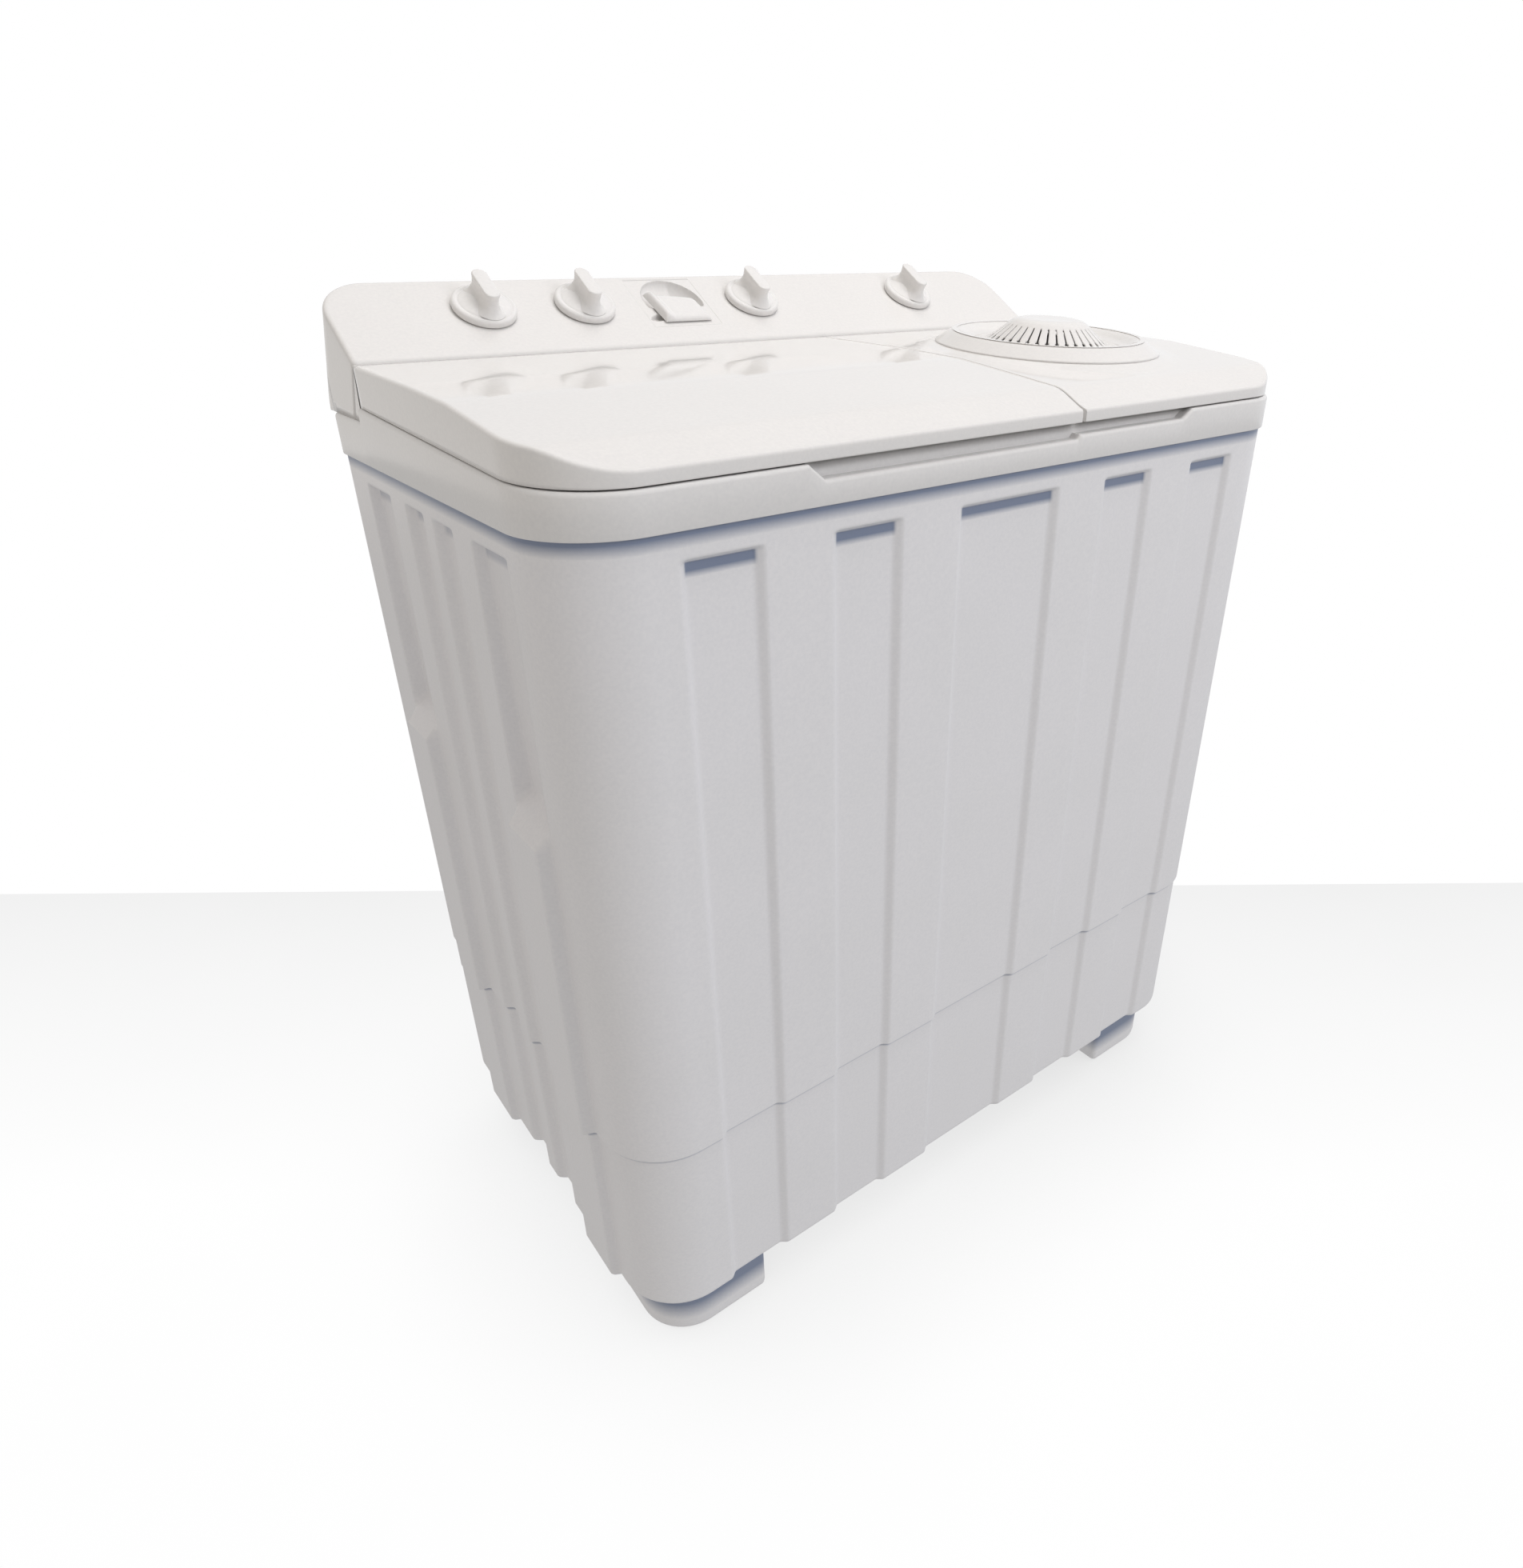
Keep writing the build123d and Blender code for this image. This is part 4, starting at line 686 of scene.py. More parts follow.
@dataclass(frozen=True)
class Pressed(Finish):
    """A casing plastic with bands of shade painted into its colour under its ledges.

    Args:
        bands: The bands of painted shade.
        front: y of the front wall's face.
        side: Distance of the side walls' faces from the middle.
        depth_in: Depth at which a wall counts as pressed in.
        front_end: Where the front's straight part ends, from the middle.
        side_start: y where the sides' straight part starts.
        side_share: How strong the shade is on the sides.
        edge: How far a mask takes to fade.
        cut: How far a band takes to end at its ledge.
    """

    bands: tuple = ()
    front: float = -0.235
    side: float = 0.4
    depth_in: float = 0.003
    front_end: float = 0.33
    side_start: float = -0.168
    side_share: float = 0.4
    edge: float = 0.002
    cut: float = 0.0008

    def recess(self, graph: Graph, place: bpy.types.Node) -> bpy.types.NodeSocket:
        """1 on the floors of the pressed channels and flutes, 0 elsewhere: where the recessed bands of
        painted shade fall.

        Args:
            graph: Node tree to build in.
            place: Node that separates the object coordinates.

        Returns:
            The mask socket.
        """
        facing = graph.add("ShaderNodeNewGeometry").outputs["Normal"]
        facing = graph.add("ShaderNodeSeparateXYZ", {"Vector": facing})
        pressed = self.front + self.depth_in
        deep = graph.fit(place.outputs["Y"], pressed, pressed + 0.5 * self.depth_in, 0.0, 1.0)
        ahead = graph.maths("MULTIPLY", deep, graph.fit(facing.outputs["Y"], -0.95, -0.7, 1.0, 0.0))
        reach = graph.maths("ABSOLUTE", place.outputs["X"], 0.0)
        within = graph.fit(reach, self.front_end, self.front_end + self.edge, 1.0, 0.0)
        ahead = graph.maths("MULTIPLY", ahead, within)
        deep = graph.fit(reach, self.side - 2.0 * self.depth_in, self.side - self.depth_in, 1.0, 0.0)
        within = graph.fit(place.outputs["Y"], self.side_start, self.side_start + self.edge, 0.0, 1.0)
        deep = graph.maths("MULTIPLY", deep, within)
        across = graph.maths("ABSOLUTE", facing.outputs["X"], 0.0)
        aside = graph.maths("MULTIPLY", deep, graph.fit(across, 0.7, 0.95, 0.0, self.side_share))
        return graph.maths("MAXIMUM", ahead, aside)

    def surface(self, graph: Graph) -> bpy.types.NodeSocket:
        """The plastic's colour with the bands of painted shade laid over it."""
        colour = super().surface(graph)
        place = graph.add("ShaderNodeSeparateXYZ", {"Vector": graph.place()})
        height, recess = place.outputs["Z"], self.recess(graph, place)
        # each band paints shade into the colour under its ledge, fading downwards
        for band in self.bands:
            rise = graph.fit(height, band.low, band.full, 0.0, band.strength)
            dark = graph.maths("MULTIPLY", rise, graph.fit(height, band.top - self.cut, band.top, 1.0, 0.0))
            dark = graph.maths("MULTIPLY", dark, recess) if band.recessed else dark
            colour = graph.blend(dark, colour, self.speck_and_shade)
        return colour


class Look(Enum):
    """Every finish on the washer."""

    CASING = Pressed(
        "casing_white", "casing_plastic", srgb(0.94, 0.935, 0.942), srgb(0.93, 0.926, 0.93), 0.36,
        spread=0.05, depth=0.000008, wave=0.0002, speck_and_shade=srgb(0.36, 0.43, 0.56),
        # bands of painted shade, in the blue-grey shade colour given above: under the top frame's overhang,
        # at the heads of the front channels, along the seam over the base, and on the legs under the skirt
        bands=(
            Band(0.7925, 0.801, 0.806, 0.85), Band(0.7705, 0.7755, 0.7845, 0.85, True),
            Band(0.2585, 0.2615, 0.2635, 0.6), Band(0.018, 0.040, 0.0652, 0.85),
        ),
    )
    FRAME = Finish(
        "frame_white", "frame_plastic", srgb(0.925, 0.918, 0.912), srgb(0.915, 0.908, 0.902), 0.2,
        depth=0.000005, wave=0.0002,
    )
    LID = Finish(
        "lid_white", "lid_plastic", srgb(0.922, 0.913, 0.904), srgb(0.914, 0.905, 0.896), 0.05,
        spread=0.06, depth=0.0000012, wave=0.0002,
    )
    PANEL = Finish(
        "panel_white", "panel_plastic", srgb(0.918, 0.909, 0.9), srgb(0.91, 0.901, 0.892), 0.12,
        depth=0.000003, wave=0.0002,
    )
    KNOB = Finish(
        "knob_white", "knob_plastic", srgb(0.925, 0.918, 0.91), srgb(0.915, 0.907, 0.9), 0.12, depth=0.000002
    )
    TUB = Finish(
        "tub_white", "tub_plastic", srgb(0.9, 0.91, 0.92), srgb(0.87, 0.885, 0.9), 0.2,
        depth=0.000008, wave=0.0004,
    )
    PULSATOR = Finish(
        "pulsator_blue", "pulsator_plastic", srgb(0.42, 0.6, 0.78), srgb(0.36, 0.54, 0.74), 0.2,
        depth=0.000006, speck_and_shade=srgb(0.12, 0.2, 0.32),
    )
    INNER = Finish(
        "inner_grey", "inner_plastic", srgb(0.72, 0.73, 0.74), srgb(0.64, 0.65, 0.66), 0.4, depth=0.00002
    )
    PAD = Rubber(
        "foot_rubber", "foot_rubber", srgb(0.09, 0.09, 0.1), srgb(0.2, 0.2, 0.2), 0.75,
        depth=0.00006,
    )
    SEAL = Rubber(
        "black_rubber", "black_rubber", srgb(0.07, 0.07, 0.075), srgb(0.17, 0.17, 0.17), 0.65,
        depth=0.00004,
    )
    BRIGHT = Metal(
        "bright_steel", "bright_steel", srgb(0.82, 0.82, 0.84), srgb(0.68, 0.68, 0.7), 0.2,
        depth=0.000004,
    )
    ZINC = Metal(
        "zinc_steel", "zinc_steel", srgb(0.72, 0.72, 0.7), srgb(0.58, 0.58, 0.57), 0.38,
        depth=0.000008, grime=0.4,
    )
    BASKET = Metal(
        "basket_steel", "basket_steel", srgb(0.84, 0.85, 0.87), srgb(0.72, 0.73, 0.76), 0.2,
        depth=0.000003, grime=0.08, streak=(2.0, 2.0, 40.0),
    )
    CAST = Metal(
        "cast_aluminium", "cast_aluminium", srgb(0.66, 0.66, 0.67), srgb(0.5, 0.5, 0.51), 0.5,
        depth=0.00006, grime=0.35, streak=(1.0, 1.0, 1.0),
    )
    COVER = Finish(
        "cover_paint", "cover_steel", srgb(0.8, 0.8, 0.8), srgb(0.74, 0.74, 0.74), 0.42,
        grain=500.0, depth=0.00003, wave=0.0004,
    )
    MOTOR = Finish(
        "motor_paint", "motor_steel", srgb(0.17, 0.18, 0.2), srgb(0.11, 0.12, 0.13), 0.45,
        grain=500.0, depth=0.00004, speck_and_shade=srgb(0.05, 0.05, 0.05),
    )

    @classmethod
    def by_slot(cls, slot: str) -> Finish:
        """The finish of a record slot.

        Args:
            slot: Slot name.

        Returns:
            The finish.
        """
        return next(look.value for look in cls if look.value.slot == slot)


# ---- casing --------------------------------------------------------------------------------------
@dataclass(frozen=True)
class Outline:
    """A rounded rectangle walked anticlockwise from its front left, with stations where walls turn.

    Args:
        half_w: Half width.
        half_d: Half depth.
        front_r: Radius of the front corners.
        back_r: Radius of the back corners.
        front_edges: x where the front turns.
        side_edges: y where the sides turn.
        back_edges: x where the back turns.
        reach: Fine stretch either side of an edge.
        fine: Spacing there.
    """

    half_w: float
    half_d: float
    front_r: float
    back_r: float
    front_edges: tuple = ()
    side_edges: tuple = ()
    back_edges: tuple = ()
    reach: float = 7.0
    fine: float = 1.6

    def walk(self) -> tuple[Array, Array]:
        """Stations round the outline.

        Returns:
            Points and outward normals, each (n, 2).
        """
        w, d, f, b = self.half_w, self.half_d, self.front_r, self.back_r
        front = graded(-(w - f), w - f, self.front_edges, self.reach, self.fine, 14.0)
        side = graded(-(d - f), d - b, self.side_edges, self.reach, self.fine, 14.0)
        back = graded(-(w - b), w - b, self.back_edges, 2.0, self.fine, 20.0)
        points, normals = [], []

        def straight(x: Array, y: Array, normal: tuple) -> None:
            """Adds a straight run."""
            points.append(np.stack(np.broadcast_arrays(x, y), axis=-1))
            normals.append(np.broadcast_to(normal, points[-1].shape))

        def corner(x: float, y: float, radius: float, start: float) -> None:
            """Adds a corner arc without its ends."""
            a = np.radians(start + np.linspace(0, 90, 18)[1:-1])
            normal = np.stack([np.cos(a), np.sin(a)], axis=-1)
            points.append(np.array([x, y]) + radius * normal)
            normals.append(normal)

        straight(front, -d, (0.0, -1.0))
        corner(w - f, -d + f, f, -90)
        straight(w, side, (1.0, 0.0))
        corner(w - b, d - b, b, 0)
        straight(back[::-1], d, (0.0, 1.0))
        corner(-w + b, d - b, b, 90)
        straight(-w, side[::-1], (-1.0, 0.0))
        corner(-w + f, -d + f, f, 180)
        return np.vstack(points), np.vstack(normals)


def trough(across: Array, centre: float, width: float, soft: float) -> Array:
    """A pressed channel's cross-section: 1 on its floor, eased to 0 over soft at each side.

    Args:
        across: Place along the wall.
        centre: Middle of the channel.
        width: Its width at half depth.
        soft: Run of each side wall.

    Returns:
        0 to 1.
    """
    return smooth((width / 2 + soft / 2 - np.abs(across - centre)) / soft)


@dataclass(frozen=True)
class Pressing:
    """The channels, flutes, hand grips and proud strips pressed into the casing walls.

    Args:
        channels: Middle and width of each channel of the front.
        channel_depth: Their depth.
        flutes: Middles of the side flutes.
        flute_w: Their width.
        flute_depth: Their depth.
        grips: Middles of the side strips with hand grips.
        grip_w: Their width.
        grip_depth: Depth of a grip at its ledge.
        ledge_z: Height where a grip has come back to the wall.
        ledge_drop: Height of the ledge's slope.
        top_z: Where channels, flutes and grips end.
        boss: How far the strips stand proud under the grips.
        soft: Run of a channel's side walls.
    """

    channels: tuple = ((-279.0, 61.0), (-152.0, 61.0), (0.0, 111.0), (152.0, 61.0), (279.0, 61.0))
    channel_depth: float = 5.0
    flutes: tuple = (-33.0, 33.0)
    flute_w: float = 37.0
    flute_depth: float = 8.0
    grips: tuple = (-127.0, 127.0)
    grip_w: float = 60.0
    grip_depth: float = 14.0
    ledge_z: float = 572.0
    ledge_drop: float = 12.0
    top_z: float = 785.0
    boss: float = 11.0
    soft: float = 9.0

    def front_edges(self) -> tuple:
        """x of every channel side."""
        return tuple(c + s * w / 2 for c, w in self.channels for s in (-1, 1))

    def side_edges(self) -> tuple:
        """y of every flute and grip side."""
        flutes = [c + s * self.flute_w / 2 for c in self.flutes for s in (-1, 1)]
        return (*flutes, *(c + s * self.grip_w / 2 for c in self.grips for s in (-1, 1)))

    def inward(self, points: Array, normals: Array, z: Array, boss: float) -> Array:
        """How far the wall is pressed in, for every height and station.

        Front: channel_depth * trough. Sides: the flutes, and in each grip's strip a floor that deepens
        downwards to the ledge, returns to the wall there and stands proud below it.

        Args:
            points: Stations, (n, 2).
            normals: Their outward normals, (n, 2).
            z: Heights, (m,).
            boss: How far the strips below the grips stand proud.

        Returns:
            Inward push, (m, n).
        """
        x, y = points[:, 0], points[:, 1]
        front = normals[:, 1] < -0.999
        side = np.abs(normals[:, 0]) > 0.999
        fall = smooth((self.top_z - z) / 3.5)[:, None]
        channel = sum(trough(x, c, w, self.soft) for c, w in self.channels) * front
        flute = sum(trough(y, c, self.flute_w, self.soft) for c in self.flutes) * side
        strip = sum(trough(y, c, self.grip_w, 6.0) for c in self.grips) * side
        knots = (self.ledge_z - self.ledge_drop, self.ledge_z, self.ledge_z + self.ledge_drop, self.top_z)
        floor = soft_interp(z, knots, (-boss, 0.0, self.grip_depth, self.flute_depth), 1.5)
        floor = np.clip(floor, -boss, None) * np.where(z > self.ledge_z, fall[:, 0], 1.0)
        return self.channel_depth * channel * fall + self.flute_depth * flute * fall + strip * floor[:, None]


@dataclass(frozen=True)
class Casing:
    """The cabinet, the base under it with its legs, and the rear cover, over the CAD sizes.

    Args:
        press: What is pressed into the walls.
        wall: Wall thickness.
        front_r: Radius of the front corners.
        back_r: Radius of the back corners.
        step: How far the base steps in under the cabinet.
        base_boss: How far the side strips stand proud on the base.
        pan_z: Height of the base's floor pan.
        opening: Half width, lower and upper edge of the service opening in the back.
    """

    press: Pressing = Pressing()
    wall: float = 3.0
    front_r: float = 65.0
    back_r: float = 28.0
    step: float = 2.5
    base_boss: float = 8.0
    pan_z: float = 97.0
    opening: tuple = (224.0, 126.0, 434.0)

    def outline(self, inset: float) -> Outline:
        """The casing's plan, inset all round.

        Args:
            inset: How far inside the cabinet's walls.

        Returns:
            The outline.
        """
        half = Extent.of("cabinet").high
        return Outline(
            half[0] - self.press.boss - inset, half[1] - inset, self.front_r - inset, self.back_r - inset,
            self.press.front_edges(), self.press.side_edges(), (-self.opening[0], self.opening[0]),
        )

    def wall_grid(self, inset: float, z: Array, insets: Array, boss: float) -> tuple[Array, Array]:
        """Points p - n * (press + row inset) for every height and station, and where the back is open.

        Args:
            inset: Inset of the wall.
            z: Heights, (m,).
            insets: Further inset of each row, (m,).
            boss: How far the lower side strips stand proud.

        Returns:
            Points, (m, n, 3), and the cells that are wall, (m - 1, n).
        """
        points, normals = self.outline(inset).walk()
        push = self.press.inward(points, normals, z, boss) + insets[:, None]
        plan = points[None] - normals[None] * push[..., None]
        grid = np.concatenate([plan, np.broadcast_to(z[:, None, None], (*push.shape, 1))], axis=-1)
        half, low, high = self.opening
        x = (points[:, 0] + np.roll(points[:, 0], -1)) / 2
        y = (points[:, 1] + np.roll(points[:, 1], -1)) / 2
        mid = (z[1:] + z[:-1]) / 2
        behind = (np.abs(x) < half) & (y > points[:, 1].max() - 1)
        hole = behind[None] & ((mid > low) & (mid < high))[:, None]
        return grid, ~hole

    def cabinet(self) -> None:
        """The four walls, thickened inwards with rounded rims."""
        low, high = Extent.of("cabinet").low[2], Extent.of("cabinet").high[2]
        turns = (self.press.top_z - 2, self.press.ledge_z, self.press.ledge_z + 12, self.press.ledge_z - 12)
        z = graded(low, high, (*turns, self.opening[2]), 4.0, 1.3, 40.0)
        grid, keep = self.wall_grid(0.0, z, np.zeros(len(z)), self.press.boss)
        sheet = Sheet("cabinet_shell").grid(grid, wrap_v=True, keep=keep)
        sheet.build(
            "casing", Look.CASING.value, ("cabinet",), self.wall, 0.7, (0, 0, (low + high) / 2), crease=60
        )

    def base(self) -> None:
        """The skirt with its turned-in lower edge, the floor pan and the legs, each its own mesh."""
        leg_low, high = Extent.of("base").low[2], Extent.of("base").high[2]
        low, lip = 65.0, 7.0
        turn = np.radians(np.linspace(0, 80, 6))
        rise = graded(low + lip, high, (self.opening[1],), 1, 1, 30)
        z = np.concatenate([low + lip * (1 - np.cos(turn)), rise])
        insets = np.concatenate([lip * (1 - np.sin(turn)), np.zeros(len(z) - 6)])
        grid, keep = self.wall_grid(self.step, z, insets, self.base_boss)
        centre = (0, 0, (low + high) / 2)
        skirt = Sheet("base_skirt").grid(grid, wrap_v=True, keep=keep)
        skirt.build("casing", Look.CASING.value, ("base",), self.wall, 0.5, centre, crease=60)
        points, normals = self.outline(self.step + self.wall).walk()
        push = self.press.inward(points, normals, np.array([self.pan_z]), self.base_boss)[0]
        rim = points - normals * push[:, None]
        rings = np.linspace(1.0, 0.02, 7)[:, None, None] * rim[None]
        floor = np.concatenate([rings, np.full((*rings.shape[:2], 1), self.pan_z)], axis=-1)
        pan = Sheet("base_floor").grid(floor, wrap_v=True).fan(floor[-1], np.array([0, 0, self.pan_z]))
        pan.build("casing", Look.CASING.value, wall=4.0, outside=(0, 0, 300))
        self.legs(leg_low)

    def legs(self, low: float) -> None:
        """Four legs, each round on its outer corner with a softened sole.

        Args:
            low: Height of the soles.
        """
        half = Extent.of("cabinet").high
        width, depth, inset = 117.0, 100.0, 17.0
        x = half[0] - self.press.boss - self.step - inset - width / 2
        y = half[1] - self.step - inset - depth / 2
        sheet = Sheet("base_legs")
        rows = np.array([
            (0, self.pan_z), (0, 40), (0, 9), (0.6, 5.5), (2, low + 1), (4.5, low), (14, low), (30, low)
        ])
        for way_x, way_y in ((-1, -1), (1, -1), (1, 1), (-1, 1)):
            loop, normal = self.leg_loop(width / 2, depth / 2, (way_x, way_y))
            plan = loop[None] - normal[None] * rows[:, :1, None]
            height = np.broadcast_to(rows[:, 1:2, None], (*plan.shape[:2], 1))
            grid = np.concatenate([plan + np.array([way_x * x, way_y * y]), height], axis=-1)
            sheet.grid(grid, wrap_v=True)
            sheet.fan(grid[-1], np.array([way_x * x, way_y * y, low]))
        sheet.build("casing", Look.CASING.value, crease=50)

    @staticmethod
    def leg_loop(half_w: float, half_d: float, outer: tuple) -> tuple[Array, Array]:
        """A rectangle with one wide corner, walked anticlockwise.

        Args:
            half_w: Half width.
            half_d: Half depth.
            outer: Signs of the wide corner.

        Returns:
            Points and outward normals.
        """
        points, normals = [], []
        for start, (sx, sy) in zip((-90, 0, 90, 180), ((1, -1), (1, 1), (-1, 1), (-1, -1))):
            radius = 50.0 if (sx, sy) == outer else 6.0
            a = np.radians(start + np.linspace(0, 90, 14 if radius > 10 else 6))
            normal = np.stack([np.cos(a), np.sin(a)], axis=-1)
            points.append(np.array([sx * (half_w - radius), sy * (half_d - radius)]) + radius * normal)
            normals.append(normal)
        return np.vstack(points), np.vstack(normals)

    def rear_cover(self) -> None:
        """The service cover: a sheet with three columns of pressed louvres and a raised border."""
        box = Extent.of("rear_cover")
        x = np.linspace(box.low[0], box.high[0], 121)
        z = np.linspace(box.low[2], box.high[2], 137)
        gx, gz = np.meshgrid(x, z, indexing="ij")
        louvres = np.zeros_like(gx)
        for column in (-110.0, 0.0, 110.0):
            for row in range(6):
                rise = (gz - (box.low[2] + 56 + 14 * row)) / 9.0
                hood = np.where((rise > 0) & (rise < 1), rise * smooth((1 - rise) * 6), 0.0)
                louvres += hood * trough(gx, column, 80.0, 8.0)
        edge = np.minimum(np.minimum(gx - x[0], x[-1] - gx), np.minimum(gz - z[0], z[-1] - gz))
        plate = box.high[1] - 0.25 - 3.2 * louvres - 1.2 * smooth((edge - 16) / 5)
        grid = np.stack([gx, plate, gz], axis=-1)
        Sheet("rear_cover_sheet").grid(grid).build(
            "casing", Look.COVER.value, ("rear_cover",), 0.8, 0.25, (0, 0, box.middle[2]), crease=50
        )

    def build(self) -> None:
        """Makes the casing's pieces."""
        self.cabinet()
        self.base()
        self.rear_cover()


@dataclass(frozen=True)
class TopFrame:
    """The band over the cabinet, its sloped deck with both mouths, and the finger notch.

    Args:
        front_r: Radius of the front corners.
        back_r: Radius of the back corners.
        rise: Slope of the deck.
        height: Height of the band at the front.
        seat_y: Where the deck meets the control box's seat.
        seat_z: Height of that seat.
        notch: x where the finger notch turns.
        drops: Its depth under the deck at each.
        notch_d: How far back it reaches.
        divide: x of the line between both lids.
        wash: Middle, half sizes and corner radius of the wash mouth.
        spin: The same of the spin mouth.
    """

    front_r: float = 68.0
    back_r: float = 31.0
    rise: float = 0.046
    height: float = 30.0
    seat_y: float = 128.5
    seat_z: float = 839.0
    notch: tuple = (-208.0, -194.0, 73.0, 77.0, 219.0, 233.0)
    drops: tuple = (0.0, 11.5, 11.5, 8.0, 8.0, 0.0)
    notch_d: float = 12.0
    divide: float = 70.0
    wash: tuple = ((-156.0, -49.0), (208.0, 153.0), 62.0)
    spin: tuple = ((230.0, -50.0), (142.0, 142.0), 87.0)

    def deck(self, y: Array, low: float) -> Array:
        """Deck height low + height + rise * (y - front), and the seat behind seat_y.

        Args:
            y: Depths.
            low: Underside of the band.

        Returns:
            Heights.
        """
        slope = low + self.height + self.rise * (y + 235.0)
        return np.where(y > self.seat_y + 0.01, self.seat_z, slope)

    def build(self) -> None:
        """Makes the frame as one shell."""
        box = Extent.of("top_frame")
        low = box.low[2]
        outline = Outline(
            box.high[0], box.high[1], self.front_r, self.back_r,
            (*self.notch, self.divide), (self.seat_y, self.seat_y + 0.8), (), reach=3.0, fine=1.0,
        )
        points, normals = outline.walk()
        drop = np.interp(points[:, 0], self.notch, self.drops) * (normals[:, 1] < -0.9)
        round_r = 3.5
        arc = np.radians(np.linspace(0, 90, 6))
        under = [(6.5, 0.0), (1.0, 0.0), (0.3, 0.3), (0.0, 1.0)]
        rows = [self.band(points, normals, inset, np.full(len(points), low + lift)) for inset, lift in under]
        deck = self.deck(points[:, 1], low)
        for a in arc:
            inset, dip = round_r * (1 - math.cos(a)), round_r * (1 - math.sin(a))
            rows.append(self.band(points, normals, inset, deck - drop - dip))
        for inset, share in ((7.0, 1.0), (self.notch_d - 0.8, 1.0), (self.notch_d, 0.0)):
            rows.append(self.band(points, normals, inset, deck - drop * share))
        band = np.stack(rows)
        sheet = Sheet("top_frame_shell").grid(band, wrap_v=True)
        rim = band[-1]
        self.decks(sheet, rim, low)
        sheet.build("casing", Look.FRAME.value, ("top_frame",), 2.6, 0.0, (0, 0, -4000.0), crease=55)

    @staticmethod
    def band(points: Array, normals: Array, inset: float, z: Array) -> Array:
        """One row of the band.

        Args:
            points: Outline stations.
            normals: Their normals.
            inset: How far inside the outline.
            z: Height of each station.

        Returns:
            Points, (n, 3).
        """
        return np.column_stack([points - normals * inset, z])

    def decks(self, sheet: Sheet, rim: Array, low: float) -> None:
        """Rules the deck from the rim to each mouth, and turns it down into the collars.

        Args:
            sheet: Sheet to add to.
            rim: Inner edge of the band, (n, 3), anticlockwise from the front left.
            low: Underside of the band.
        """
        x, y = rim[:, 0], rim[:, 1]
        ahead = y < self.seat_y + 0.3
        front = (y < -150) & (np.arange(len(rim)) < len(rim) // 2)
        split = int(np.flatnonzero(front & (np.abs(x - self.divide) < 0.01))[0])
        right = [i for i in range(split, len(rim)) if ahead[i] and x[i] >= self.divide - 0.01]
        left = [i for i in range(len(rim)) if ahead[i] and x[i] < self.divide + 0.01]
        start = next(k for k, i in enumerate(left) if i > len(rim) // 2)
        left = left[start:] + left[:start]
        ys = np.linspace(y[split], self.seat_y, 26)
        middle = np.column_stack([np.full(26, self.divide), ys])
        for chain, mouth, onward in ((left, self.wash, True), (right, self.spin, False)):
            edge = rim[chain, :2]
            far = edge[0, 0] if onward else edge[-1, 0]
            back_x = np.linspace(self.divide, far, 40)
            back = np.column_stack([back_x, np.full(40, self.seat_y)])
            if onward:
                loop = np.vstack([edge, middle[1:], back[1:-1]])
            else:
                loop = np.vstack([edge[:-1], back[::-1], middle[::-1][1:-1]])
            centre, half, radius = np.array(mouth[0]), mouth[1], mouth[2]
            ray = loop - centre
            ray /= np.linalg.norm(ray, axis=1, keepdims=True)
            mouth_edge = centre + ray * round_box_reach(ray, half, radius)[:, None]
            lip = 2.5
            rows = [loop + (mouth_edge + ray * lip - loop) * t for t in np.linspace(0, 1, 6)]
            heights = [self.deck(np.minimum(row[:, 1], self.seat_y), low) for row in rows]
            for a in np.radians((30, 60, 90)):
                row = mouth_edge + ray * lip * (1 - math.sin(a))
                rows.append(row)
                heights.append(self.deck(np.minimum(row[:, 1], self.seat_y), low) - lip * (1 - math.cos(a)))
            for z in (low + 18, low + 0.5):
                rows.append(mouth_edge)
                heights.append(np.full(len(mouth_edge), z))
            grid = np.stack([np.column_stack([r, h]) for r, h in zip(rows, heights)])
            sheet.grid(grid, wrap_v=True)
        across, back = np.linspace(-390.0, 390.0, 30), np.linspace(self.seat_y + 0.8, 226.0, 6)
        behind = np.meshgrid(across, back, indexing="ij")
        sheet.grid(np.stack([*behind, np.full((30, 6), self.seat_z)], axis=-1))


# ---- lids ----------------------------------------------------------------------------------------
@dataclass(frozen=True)
class Crown:
    """The lids' common top: a nose at the front that eases into a long, nearly flat rise.

    Args:
        ahead: Distances behind the front edge.
        height: Height at each.
        seat: Height of the deck under the front edge.
        seat_rise: Slope of the deck.
        kink: Half width over which the kinks are softened.
        sunk: How far the top lies under the CAD lid's.
    """

    ahead: tuple = (0.0, 29.0, 99.0, 151.0, 227.0, 358.0)
    height: tuple = (844.5, 860.4, 869.5, 876.0, 880.0, 884.2)
    seat: float = 835.0
    seat_rise: float = 0.046
    kink: float = 7.0
    sunk: float = 0.35

    def top(self, ahead: Array) -> Array:
        """Height of the top at a distance behind the front edge, its kinks softened.

        Args:
            ahead: Distances behind the front edge.

        Returns:
            Heights.
        """
        return soft_interp(ahead, self.ahead, self.height, self.kink) - self.sunk


